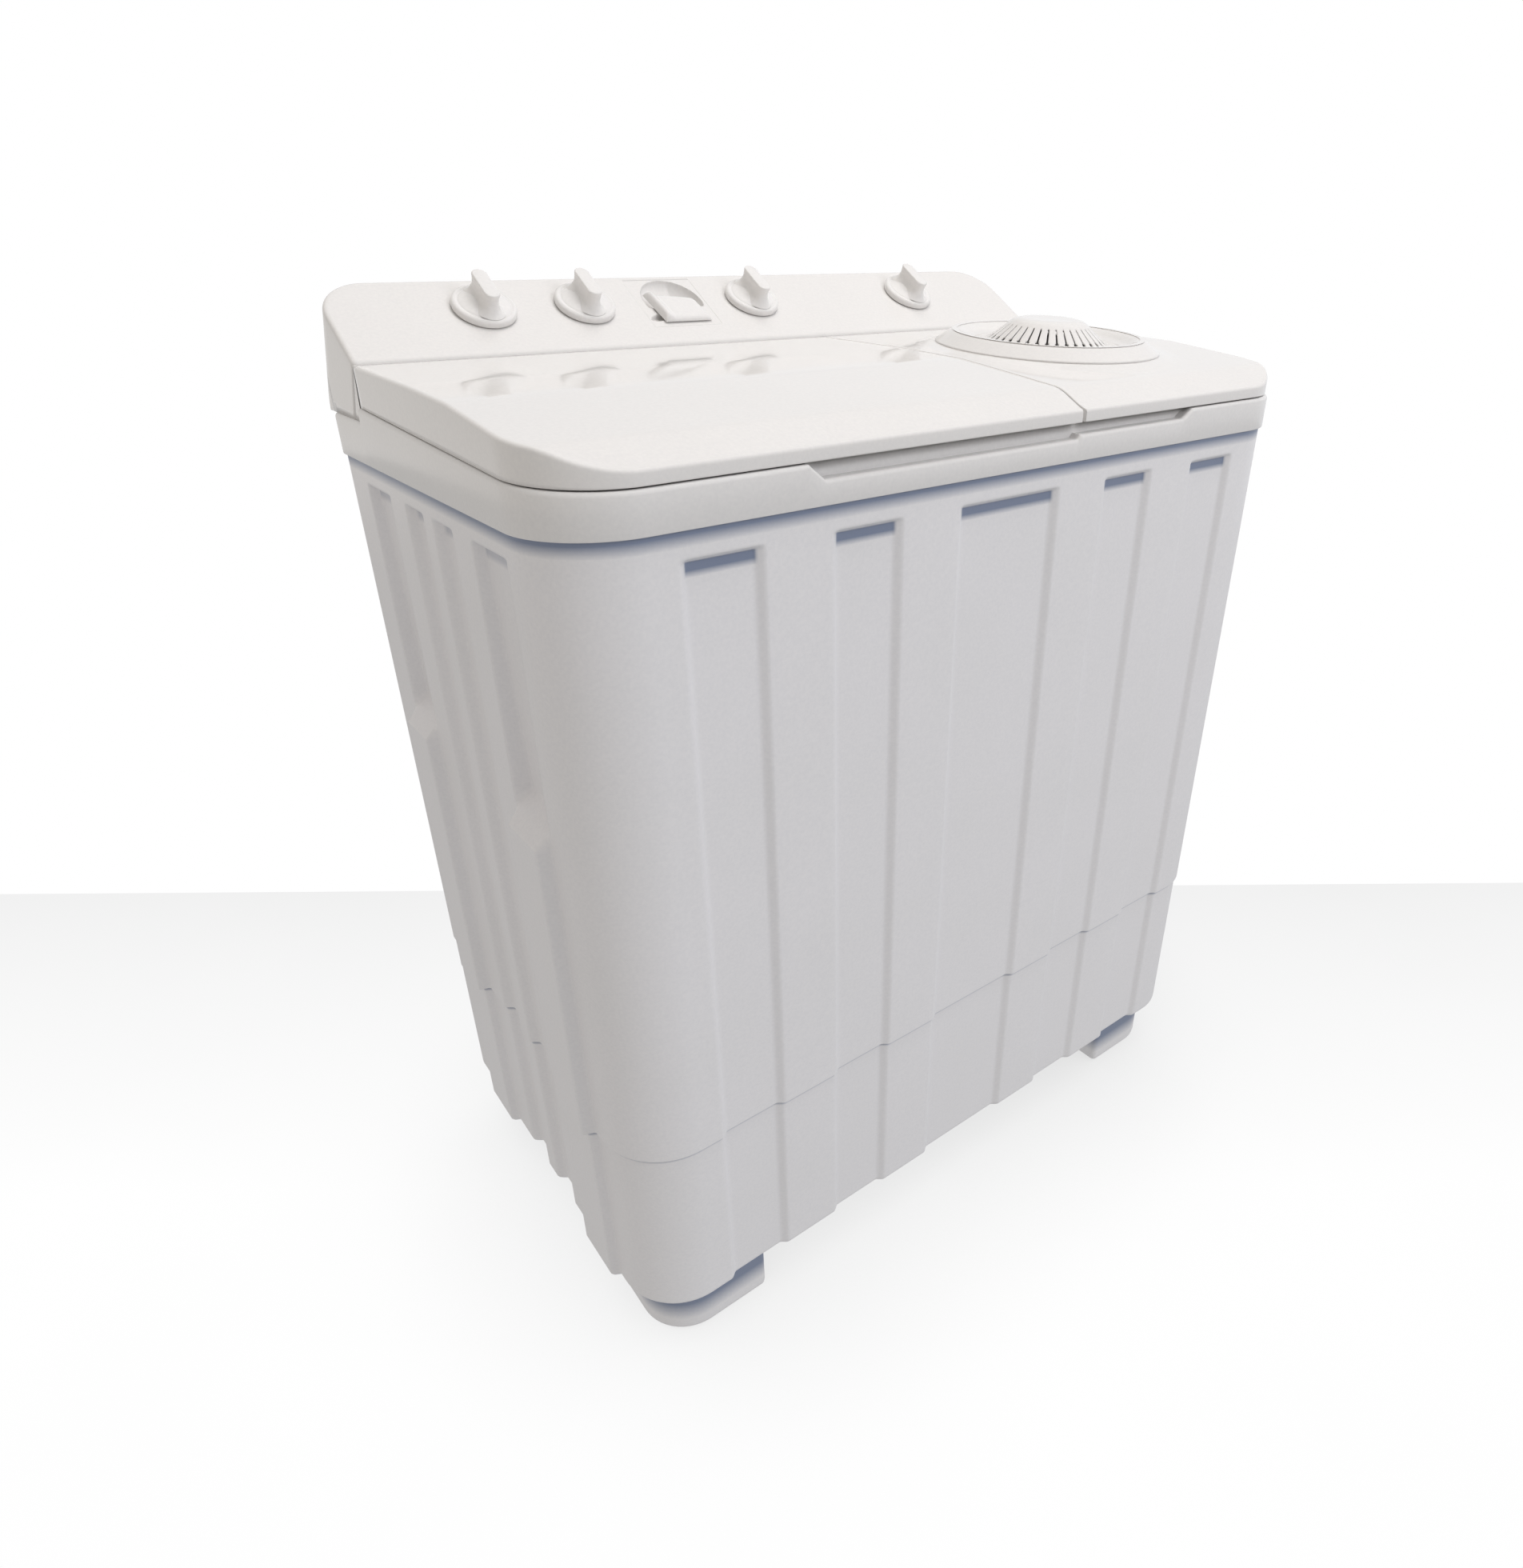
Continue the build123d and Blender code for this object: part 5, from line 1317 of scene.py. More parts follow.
@dataclass(frozen=True)
class Lid:
    """One lid: a crowned top with rounded rims, skirts on three sides and a hinge bead behind.

    Args:
        node: CAD node it stands for.
        body: Body it rides on.
        way: -1 if its wide corner is on the left, 1 if on the right.
        crown: Shape of its top.
        corner: Radius of its wide corner.
        rim: Radius of its rounded rims.
        seam: The same along the line between both lids.
        vent: Middle and half width of the square left out for the vent, None without one.
        vent_z: Height of the vent's seat at its middle.
        vent_top: Highest the seat may reach.
        vent_r: Radius of the vent's hole.
        vent_fade: How far the seat takes to run out into the crown.
        tilt: Tilt of the vent, degrees.
    """

    node: str
    body: str
    way: int
    crown: Crown = Crown()
    corner: float = 68.0
    rim: float = 3.4
    seam: float = 1.3
    vent: tuple | None = None
    vent_z: float = 877.9
    vent_top: float = 886.0
    vent_r: float = 90.0
    vent_fade: float = 26.0
    tilt: float = 4.4

    def box(self) -> tuple[float, float, float, float]:
        """Left, right, front and hinge line of the lid."""
        box = Extent.of(self.node)
        return box.low[0], box.high[0], box.low[1], box.high[1] - 2.5

    def front(self, x: Array, inset: float) -> Array:
        """Front edge y at x: straight, then a circular arc at the wide corner.

        Args:
            x: Places across.
            inset: How far inside the outline.

        Returns:
            y of the edge.
        """
        x0, x1, y0, _ = self.box()
        radius = self.corner - inset
        edge = (x0 + inset) if self.way < 0 else (x1 - inset)
        run = np.clip(radius - np.abs(x - edge), 0.0, radius)
        return y0 + inset + radius - np.sqrt(np.clip(radius**2 - run**2, 0, None))

    def columns(self, inset: float) -> Array:
        """Stations across, closing up towards the end of the wide corner.

        Args:
            inset: How far inside the outline.

        Returns:
            x stations, rising.
        """
        x0, x1, _, _ = self.box()
        radius = self.corner - inset
        bend = radius * (1 - np.cos(np.radians(np.linspace(0, 90, 26))))
        if self.way < 0:
            straight = np.linspace(x0 + inset + radius, x1 - self.seam, 84)
            return np.concatenate([x0 + inset + bend, straight[1:]])
        straight = np.linspace(x0 + self.seam, x1 - inset - radius, 58)
        if self.vent:
            cx, _, half = self.vent
            straight = np.concatenate([
                np.linspace(x0 + self.seam, cx - half, 10)[:-1], np.linspace(cx - half, cx + half, 45),
                np.linspace(cx + half, x1 - inset - radius, 4)[1:],
            ])
        return np.concatenate([straight[:-1], (x1 - inset - bend)[::-1]])

    def depths(self, y0: float, y1: float) -> Array:
        """Rows from the straight front edge to the hinge line, as fractions.

        Args:
            y0: Front.
            y1: Hinge line.

        Returns:
            Fractions from 0 to 1.
        """
        if not self.vent:
            return np.linspace(0, 1, 72)
        _, cy, half = self.vent
        rows = [np.linspace(y0, cy - half, 16)[:-1], np.linspace(cy - half, cy + half, 45), [y1]]
        rows.insert(2, np.linspace(cy + half, y1, 18)[1:-1])
        return (np.concatenate(rows) - y0) / (y1 - y0)

    def height(self, x: Array, y: Array) -> Array:
        """Top height: the crown, eased into the vent's tilted seat near the vent.

        Args:
            x: Places across.
            y: Depths.

        Returns:
            Heights.
        """
        _, _, y0, _ = self.box()
        z = self.crown.top(y - y0)
        if not self.vent:
            return z
        cx, cy, half = self.vent
        near = 1 - smooth((np.hypot(x - cx, y - cy) - half) / self.vent_fade)
        seat = self.vent_z + math.tan(math.radians(self.tilt)) * (y - cy)
        return z + (np.minimum(seat, self.vent_top) - z) * near

    def top_grid(self) -> tuple[Array, Array | None]:
        """The top inside the rounded rims, and the cells left out for the vent.

        Returns:
            Points, (columns, rows, 3), and the kept cells or None.
        """
        _, _, y0, y1 = self.box()
        x = self.columns(self.rim)
        share = self.depths(y0 + self.rim, y1)
        front = self.front(x, self.rim)
        gy = front[:, None] + (y1 - front)[:, None] * share[None]
        gx = np.broadcast_to(x[:, None], gy.shape)
        grid = np.stack([gx, gy, self.height(gx, gy)], axis=-1)
        if not self.vent:
            return grid, None
        cx, cy, half = self.vent
        mx = (gx[1:, 1:] + gx[:-1, :-1]) / 2
        my = (gy[1:, 1:] + gy[:-1, :-1]) / 2
        return grid, ~((np.abs(mx - cx) < half) & (np.abs(my - cy) < half))

    def rim_rows(self, edge: Array, outward: Array) -> Array:
        """Skirt and rim along the outline: up from the seat, then a quarter turn onto the top.

        Args:
            edge: Edge of the top, (n, 3).
            outward: Unit outward normals in plan, (n, 2).

        Returns:
            Points, (rows, n, 3).
        """
        r = np.where(outward[:, :1] * self.way < -0.99, self.seam, self.rim)
        rows = []
        seat = self.crown.seat + self.crown.seat_rise * (edge[:, 1] + 235.0)
        outer = edge[:, :2] + outward * r
        drop = np.minimum(r[:, 0], np.maximum(edge[:, 2] - seat - 2.0, 0.5))
        for share in (0.0, 0.12, 0.5):
            rows.append(np.column_stack([outer, seat + (edge[:, 2] - drop - seat) * share]))
        for a in np.radians(np.linspace(0, 90, 7)):
            plan = edge[:, :2] + outward * r * math.cos(a)
            rows.append(np.column_stack([plan, edge[:, 2] - drop * (1 - math.sin(a))]))
        return np.stack(rows)

    def build(self, name: str) -> None:
        """Makes the lid.

        Args:
            name: Name of the object.
        """
        grid, keep = self.top_grid()
        sheet = Sheet(name).grid(grid, keep=keep)
        x0, x1, _, _ = self.box()
        front = grid[:, 0]
        tangent = np.gradient(front[:, :2], axis=0)
        normal = np.column_stack([tangent[:, 1], -tangent[:, 0]])
        normal /= np.linalg.norm(normal, axis=1, keepdims=True)
        normal[0 if self.way < 0 else -1] = (self.way, 0)
        left, right = grid[0, ::-1], grid[-1, :]
        sides = [np.tile((-1.0, 0.0), (len(left), 1)), np.tile((1.0, 0.0), (len(right), 1))]
        chain = np.vstack([left[:-1], front, right[1:]])
        outward = np.vstack([sides[0][:-1], normal, sides[1][1:]])
        sheet.grid(self.rim_rows(chain, outward))
        back = grid[:, -1]
        bead = [(2.0 * math.sin(a), -2.4 * (1 - math.cos(a))) for a in np.radians(np.linspace(0, 150, 6))]
        rows = [back + np.array([0, out, down]) for out, down in bead]
        sheet.grid(np.stack(rows))
        if self.vent:
            self.vent_ring(sheet, grid)
        sheet.build(self.body, Look.LID.value, (self.node,), 2.3, 0.0, ((x0 + x1) / 2, 60, 700.0), crease=50)

    def vent_ring(self, sheet: Sheet, grid: Array) -> None:
        """Rules the top from the square left out for the vent to the round hole.

        Args:
            sheet: Sheet to add to.
            grid: Points of the top.
        """
        cx, cy, half = self.vent
        on = (np.abs(grid[..., 0] - cx) < half + 0.01) & (np.abs(grid[..., 1] - cy) < half + 0.01)
        on &= np.maximum(np.abs(grid[..., 0] - cx), np.abs(grid[..., 1] - cy)) > half - 0.01
        square = grid[on]
        angle = np.arctan2(square[:, 1] - cy, square[:, 0] - cx)
        order = np.argsort(angle)
        square, angle = square[order], angle[order]
        hole = np.array([cx, cy]) + self.vent_r * np.column_stack([np.cos(angle), np.sin(angle)])
        rows = []
        for t in np.linspace(0, 1, 7):
            plan = square[:, :2] + (hole - square[:, :2]) * t
            rows.append(np.column_stack([plan, self.height(plan[:, 0], plan[:, 1])]))
        rows[0] = square
        sheet.grid(np.stack(rows), wrap_v=True)


@dataclass(frozen=True)
class Grille:
    """The round vent on the spin lid: a raised rim, a dish, and a slotted cone in its middle.

    Args:
        profile: Radius and height of its section, from the middle out.
        radii: Rounding of each corner of the section.
        slots: How many slots.
        per_slot: Stations round the axis for each slot.
        slot_r: Inner and outer radius of the slots.
        tilt: Tilt towards the front, degrees.
        seat_y: y of its middle.
        seat_z: Height of its seat there.
        below: How far under the seat the point lies that its faces look away from.
    """

    profile: tuple = (
        (0.8, 24.7), (29, 25.2), (36, 23.2), (60, 4.0), (68, 2.4), (79, 4.0), (90, 11.0), (96, 11.4),
        (104, 6.0), (113, 0.2),
    )
    radii: tuple = (0, 4, 3, 5, 4, 5, 5, 3.4, 4.5, 0)
    slots: int = 36
    per_slot: int = 10
    slot_r: tuple = (41.0, 61.0)
    tilt: float = 4.4
    seat_y: float = -60.0
    seat_z: float = 878.1
    below: float = 98.1

    def build(self) -> None:
        """Turns the profile, leaves the slots out, tilts it onto the lid and closes its hub."""
        box = Extent.of("spin_vent_grille")
        cx = box.middle[0]
        outline = rounded_path(list(self.profile), self.radii, 8)
        run = np.concatenate([[0], np.cumsum(np.linalg.norm(np.diff(outline, axis=0), axis=1))])
        stations = np.linspace(0, run[-1], 76)
        r, h = np.interp(stations, run, outline[:, 0]), np.interp(stations, run, outline[:, 1])
        steps = self.slots * self.per_slot
        angles = np.linspace(0, 2 * np.pi, steps, endpoint=False)
        tilt = math.radians(self.tilt)
        x = r[:, None] * np.cos(angles)
        y = r[:, None] * np.sin(angles)
        z = np.broadcast_to(h[:, None], x.shape)
        ahead = self.seat_y + y * math.cos(tilt) - z * math.sin(tilt)
        above = self.seat_z + y * math.sin(tilt) + z * math.cos(tilt)
        grid = np.stack([cx + x, ahead, above], axis=-1)
        hub = (cx, self.seat_y, self.seat_z - self.below)
        mid_r = (r[1:] + r[:-1]) / 2
        phase = np.arange(steps) % self.per_slot
        inside = (mid_r > self.slot_r[0]) & (mid_r < self.slot_r[1])
        foot = (mid_r > self.slot_r[1] - 7) & (mid_r < self.slot_r[1] - 1.5)
        hole = (inside[:, None] & ((phase > 0) & (phase < 3))[None]) | (foot[:, None] & (phase < 4)[None])
        Sheet("vent_grille").grid(grid, wrap_v=True, keep=~hole).fan(
            grid[0], grid[0].mean(axis=0) + np.array([0, 0, 0.05])
        ).build("spin_lid", Look.LID.value, ("spin_vent_grille",), 1.8, 0.0, hub, crease=60)


# ---- control box ---------------------------------------------------------------------------------
@dataclass(frozen=True)
class Slope:
    """The control panel's plane: across, up the slope, and out from its face.

    Args:
        y: y of its lower edge.
        z: Height of its lower edge.
        angle: How far it leans back from level, radians.
    """

    y: float = 125.5
    z: float = 884.0
    angle: float = math.radians(32.0)

    def at(self, x: Array, s: Array, h: Array) -> Array:
        """Points y + s cos - h sin, z + s sin + h cos.

        Args:
            x: Across.
            s: Up the slope.
            h: Out from the face.

        Returns:
            Points with a last axis of 3.
        """
        y = self.y + s * math.cos(self.angle) - h * math.sin(self.angle)
        z = self.z + s * math.sin(self.angle) + h * math.cos(self.angle)
        return np.stack(np.broadcast_arrays(x, y, z), axis=-1)


@dataclass(frozen=True)
class ControlBox:
    """The sloped panel with its rounded top corners, its side walls, the spout wall and the rear.

    Args:
        slope: Plane of the panel's face.
        run: Length of the face up the slope.
        corner: Radius of its top corners.
        rim: Radius of its rounded rim.
        split_y: Where panel and rear part.
        foot_y: y of the spout wall's foot.
        seat_z: Height of the frame's seat.
        opening: Left, right, lower and upper edge of the bowl's opening in the face.
        spouts: x of the two spout openings.
        spout_z: Their lower and upper edge.
        skin: How far the face lies under the slope's plane.
        seat_gap: Gap over the seat.
    """

    slope: Slope = Slope()
    run: float = 112.6
    corner: float = 45.0
    rim: float = 4.0
    split_y: float = 224.0
    foot_y: float = 132.0
    seat_z: float = 839.0
    opening: tuple = (-106.3, -29.7, 29.7, 104.3)
    spouts: tuple = (-60.0, 150.0)
    spout_z: tuple = (852.0, 872.0)
    skin: float = 0.1
    seat_gap: float = 0.2

    def half(self) -> float:
        """Half width of the box."""
        return Extent.of("control_panel").high[0] - 0.3

    def top(self, x: Array, inset: float) -> Array:
        """Top edge s at x: straight, with a circular arc at each end.

        Args:
            x: Places across.
            inset: How far inside the outline.

        Returns:
            s of the edge.
        """
        radius = self.corner - inset
        run = np.clip(radius - (self.half() - inset - np.abs(x)), 0.0, radius)
        return self.run - inset - radius + np.sqrt(np.clip(radius**2 - run**2, 0, None))

    def columns(self, inset: float) -> Array:
        """Stations across, closing up towards both ends, with the bowl opening's sides among them.

        Args:
            inset: How far inside the outline.

        Returns:
            x stations.
        """
        half, radius = self.half() - inset, self.corner - inset
        bend = radius * (1 - np.cos(np.radians(np.linspace(0, 90, 20))))
        middle = graded(-half + radius, half - radius, self.opening[:2], 1.5, 1.0, 12.0)
        return np.concatenate([-half + bend[:-1], middle, (half - bend[:-1])[::-1]])

    def face(self, sheet: Sheet) -> Array:
        """The face inside the rounded rim, without the bowl opening.

        Args:
            sheet: Sheet to add to.

        Returns:
            The rim chain in (x, s), from the lower left round the top to the lower right.
        """
        x = self.columns(self.rim)
        low, high = self.opening[2:]
        rows = graded(0.0, self.run - self.corner, (low,), 1.5, 1.0, 8.0)
        top = self.top(x, self.rim)
        upper = np.linspace(0, 1, 9)[1:]
        gs = np.concatenate([
            np.broadcast_to(rows, (len(x), len(rows))),
            (self.run - self.corner) + (top - (self.run - self.corner))[:, None] * upper[None],
        ], axis=1)
        flat = np.abs(x - (self.opening[0] + self.opening[1]) / 2) < 60
        target = np.argmin(np.abs(gs[flat][0] - high))
        shift = np.where(np.abs(x) < self.half() - self.corner, high - gs[:, target], 0.0)
        gs[:, target] += shift
        gx = np.broadcast_to(x[:, None], gs.shape)
        mx = (gx[1:, 1:] + gx[:-1, :-1]) / 2
        ms = (gs[1:, 1:] + gs[:-1, :-1]) / 2
        x0, x1 = self.opening[:2]
        hole = (mx > x0) & (mx < x1) & (ms > low) & (ms < high)
        sheet.grid(self.slope.at(gx, gs, -self.skin), keep=~hole)
        left = np.column_stack([gx[0], gs[0]])
        right = np.column_stack([gx[-1], gs[-1]])
        crest = np.column_stack([gx[:, -1], gs[:, -1]])
        return np.vstack([left[:-1], crest, right[::-1][1:]])

    def shell(self) -> None:
        """The panel: face, rim, the walls along -normal down to the frame, and the spout wall."""
        panel, rear = Sheet("control_panel_shell"), Sheet("control_box_back")
        chain = self.face(panel)
        tangent = np.gradient(chain, axis=0)
        outward = np.column_stack([-tangent[:, 1], tangent[:, 0]])
        outward /= np.maximum(np.linalg.norm(outward, axis=1, keepdims=True), TINY)
        lower = chain[:, 1] < self.run - self.corner + 0.01
        outward[lower] = np.column_stack([np.sign(chain[lower, 0]), np.zeros(lower.sum())])
        r = self.rim
        rows = []
        for a in np.radians(np.linspace(90, 0, 6)):
            edge = chain + outward * r * math.cos(a)
            rows.append(self.slope.at(edge[:, 0], edge[:, 1], -self.skin - r * (1 - math.sin(a))))
        panel.grid(np.stack(rows))
        outer = chain + outward * r
        sin, cos = math.sin(self.slope.angle), math.cos(self.slope.angle)
        start_y = self.slope.y + outer[:, 1] * cos
        start_z = self.slope.z + outer[:, 1] * sin
        back = Extent.of("control_box_rear").high[1] - 0.3
        deep = np.minimum((back - start_y) / sin, (start_z - self.seat_z - self.seat_gap) / cos)
        cut = np.clip((self.split_y - start_y) / sin, r, deep)
        shares = np.linspace(0, 1, 9)[:, None]
        depth = r + (cut - r) * shares
        panel.grid(self.slope.at(outer[:, 0], outer[:, 1], -self.skin - depth))
        depth = cut + self.skin + np.maximum(deep - cut - self.skin, 0) * shares
        wall = self.slope.at(outer[:, 0], outer[:, 1], -self.skin - depth)
        rear.grid(wall)
        ends = wall[-1]
        reach = np.abs(ends[:, 1] - back) < 0.6
        last = ends[reach]
        floor = np.column_stack([last[:, 0], last[:, 1], np.full(len(last), self.seat_z + self.seat_gap)])
        rear.grid(np.stack([last + (floor - last) * t for t in np.linspace(0, 1, 8)]))
        self.cheeks(panel)
        self.spout_wall(panel)
        panel.build(
            "casing", Look.PANEL.value, ("control_panel",), 2.2, 0.0, (0, 190, 850.0), crease=50
        )
        rear.build("casing", Look.FRAME.value, ("control_box_rear",), 2.2, 0.0, (0, 190, 850.0), crease=50)

    def cheeks(self, sheet: Sheet) -> None:
        """The triangle of each side wall between the spout wall and the -normal line.

        Args:
            sheet: Sheet to add to.
        """
        t = np.linspace(0, 1, 8)[:, None]
        s = np.linspace(0, 1, 8)[None, :]
        low = self.seat_z + self.seat_gap
        start = np.array([self.slope.y, self.slope.z - self.skin])
        foot = np.array([self.foot_y, low])
        reach = self.slope.z - low
        far = np.array([self.slope.y + reach * math.tan(self.slope.angle), low])
        for side in (-1, 1):
            y = start[0] + t * (foot[0] - start[0] + s * (far[0] - foot[0]))
            z = start[1] + t * (foot[1] - start[1])
            grid = np.stack(np.broadcast_arrays(side * self.half(), y, z), axis=-1)
            sheet.grid(grid)

    def spout_wall(self, sheet: Sheet) -> None:
        """The front wall under the face, with an opening for each spout.

        Args:
            sheet: Sheet to add to.
        """
        half, gap = self.half(), 18.0
        edges = tuple(x + s * gap for x in self.spouts for s in (-1, 1))
        x = graded(-half, half, edges, 1.0, 1.0, 20.0)
        low, high = self.spout_z
        z = graded(self.seat_z + self.seat_gap, self.slope.z - self.skin, (low, high), 1.0, 1.0, 10.0)
        gx, gz = np.meshgrid(x, z, indexing="ij")
        lean = (self.foot_y - self.slope.y) / (self.slope.z - self.seat_z)
        gy = self.slope.y + (self.slope.z - gz) * lean + self.seat_gap
        mx, mz = (gx[1:, 1:] + gx[:-1, :-1]) / 2, (gz[1:, 1:] + gz[:-1, :-1]) / 2
        near = np.min([np.abs(mx - spout) for spout in self.spouts], axis=0) < gap
        sheet.grid(np.stack([gx, gy, gz], axis=-1), keep=~(near & (mz > low) & (mz < high)))

    def build(self) -> None:
        """Makes the box, the bowl, the lever and the knobs."""
        self.shell()
        self.bowl()
        self.lever()
        for name in ("wash_timer", "wash_selector", "drain_selector", "spin_timer"):
            Knob(name, self.slope).build()

    def bowl(self) -> None:
        """The inlet bowl: the hooded recess with its ridge, and the pointed slot beside the lever.

        The recess is part of a ball above s = 69, as deep as depth * sqrt(1 - rho^2) with a ridge from its
        crest; the slot is a shallow ellipse.
        """
        x0, x1, s0, s1 = self.opening
        x = np.linspace(x0, x1, 150)
        s = np.linspace(s0, s1, 150)
        gx, gs = np.meshgrid(x, s, indexing="ij")
        cx, cs, radius = -66.0, 69.5, 33.0
        rho = np.hypot(gx - cx, (gs - cs) * 0.97) / radius
        ball = np.sqrt(np.clip(1 - rho**2, 0, 1))
        side = np.arctan2(gx - cx - 10, np.maximum(gs - cs + 12, 1.0))
        lobe = smooth((side + 0.1) / 0.12)
        recess = 16.0 * ball * (0.72 + 0.28 * lobe) * smooth((gs - cs + 11) / 8)
        slot = np.hypot((gx + 91.0) / 15.0, (gs - 45.0 - 0.22 * (gx + 91.0)) / 5.8)
        h = -0.13 - np.minimum(recess, 15.2) - 4.5 * smooth((1.0 - slot) * 2.5)
        grid = self.slope.at(gx, gs, h)
        sheet = Sheet("inlet_bowl_cup").grid(grid)
        edge = np.vstack([grid[:, 0], grid[-1, 1:], grid[::-1, -1][1:], grid[0, ::-1][1:-1]])
        down = self.slope.at(0.0, 0.0, -15.5) - self.slope.at(0.0, 0.0, 0.0)
        sheet.grid(np.stack([edge, edge + down]), wrap_v=True).fan(edge + down, (edge + down).mean(axis=0))
        sheet.build("casing", Look.PANEL.value, ("inlet_bowl",), crease=55)

    def lever(self) -> None:
        """The water selector: a leaning pad with a thick rounded left edge, and its pin.

        The pad maps a square to a parallelogram; its height is a pillow 1 - |u|^9 by 1 - |v|^9, higher on the
        left, and the underside is flat.
        """
        across, along = (np.sin(np.linspace(-1, 1, count) * np.pi / 2) for count in (61, 49))
        u, v = np.meshgrid(across, along, indexing="ij")
        box = Extent.of("water_selector_lever")
        centre = box.middle[0]
        x = centre + 26.5 * u - 2.5 * v
        s = 54.0 + 19.5 * v - 4.5 * u * (v + 1) / 2
        pillow = (1 - np.abs(u) ** 12) * (1 - np.abs(v) ** 8)
        rise = 4.0 + 4.4 * smooth((-u - 0.5) / 0.42)
        top = self.slope.at(x, s, 1.3 + rise * pillow**0.6)
        low = self.slope.at(x, s, np.full_like(x, 1.3))
        sheet = Sheet("water_selector_pad").grid(top).grid(low)
        turn = np.linspace(0, 2 * np.pi, 20, endpoint=False)
        ring = [self.slope.at(centre + 3.9 * np.cos(turn), 50 + 3.9 * np.sin(turn), h) for h in (1.4, -10.5)]
        sheet.grid(np.stack(ring), wrap_v=True).fan(ring[1], ring[1].mean(axis=0))
        sheet.build("water_selector", Look.KNOB.value, ("water_selector_lever",), crease=60)


@dataclass(frozen=True)
class Knob:
    """A knob: a round stepped skirt and a waisted grip bar that points up the slope.

    Args:
        name: Which control.
        slope: The panel it stands on.
        s: Place up the slope.
        lift: Gap under the skirt.
        skirt: Radius and height of the skirt's section, from the rim in.
        radii: Rounding of each corner of the section.
        grip: Half length, half width and height of the grip.
        crest_r: Radius of the grip's upper edge.
    """

    name: str
    slope: Slope
    s: float = 66.0
    lift: float = 1.0
    skirt: tuple = (
        (28.6, 0.0), (29.1, 2.4), (28.6, 5.0), (26.4, 6.3), (24.6, 5.9), (23.4, 5.5), (22.0, 6.3),
        (16.0, 8.2), (9.0, 11.0), (0.6, 11.4),
    )
    radii: tuple = (0, 1.2, 1.2, 1.0, 0.6, 0.6, 0.8, 3, 2, 0)
    grip: tuple = (20.0, 6.4, 25.6)
    crest_r: float = 1.4

    def build(self) -> None:
        """Makes the skirt and the grip in one mesh on the knob's body."""
        box = Extent.of(self.name + "_stem")
        cx = box.middle[0]
        outline = rounded_path(list(self.skirt), self.radii, 5)
        turn = np.linspace(0, 2 * np.pi, 72, endpoint=False)
        x = cx + outline[:, :1] * np.cos(turn)
        s = self.s + outline[:, :1] * np.sin(turn)
        grid = self.slope.at(x, s, self.lift + outline[:, 1:])
        sheet = Sheet(self.name + "_knob_cap").grid(grid, wrap_v=True)
        sheet.fan(grid[0], grid[0].mean(axis=0)).fan(grid[-1], grid[-1].mean(axis=0))
        self.bar(sheet, cx)
        sheet.build(self.name + "_knob", Look.KNOB.value, (self.name + "_knob",), crease=55)

    def bar(self, sheet: Sheet, cx: float) -> None:
        """The grip: a stadium in plan, flared into the skirt, drawn in at half height, with a flat crest.

        Each section is width * cos(a) by (length - width) * sign(sin a) + width * sin(a) in plan, with half
        width and half length, grown by the flare at its height.

        Args:
            sheet: Sheet to add to.
            cx: Middle of the knob.
        """
        length, width, high = self.grip
        turn = np.linspace(0, 2 * np.pi, 72, endpoint=False) + 0.001
        core = (length - width) * np.clip(np.sin(turn) * 6, -1, 1)
        top_grow, r = 0.7, self.crest_r
        flare = (
            (6.5, 6.5), (8.5, 4.2), (10.5, 2.4), (13.0, 0.9), (16.5, 0.0), (20.0, 0.1), (high - r, top_grow)
        )
        arc = np.radians((22, 45, 68, 90))
        crest = tuple((high - r * (1 - math.sin(a)), top_grow - r * (1 - math.cos(a))) for a in arc)
        rows = []
        for height, grow in flare + crest:
            x = cx + (width + grow) * np.cos(turn)
            s = self.s + core + (width + grow) * np.sin(turn)
            rows.append(self.slope.at(x, s, self.lift + height))
        grid = np.stack(rows)
        sheet.grid(grid, wrap_v=True).fan(grid[-1], grid[-1].mean(axis=0))
        sheet.fan(grid[0], grid[0].mean(axis=0))


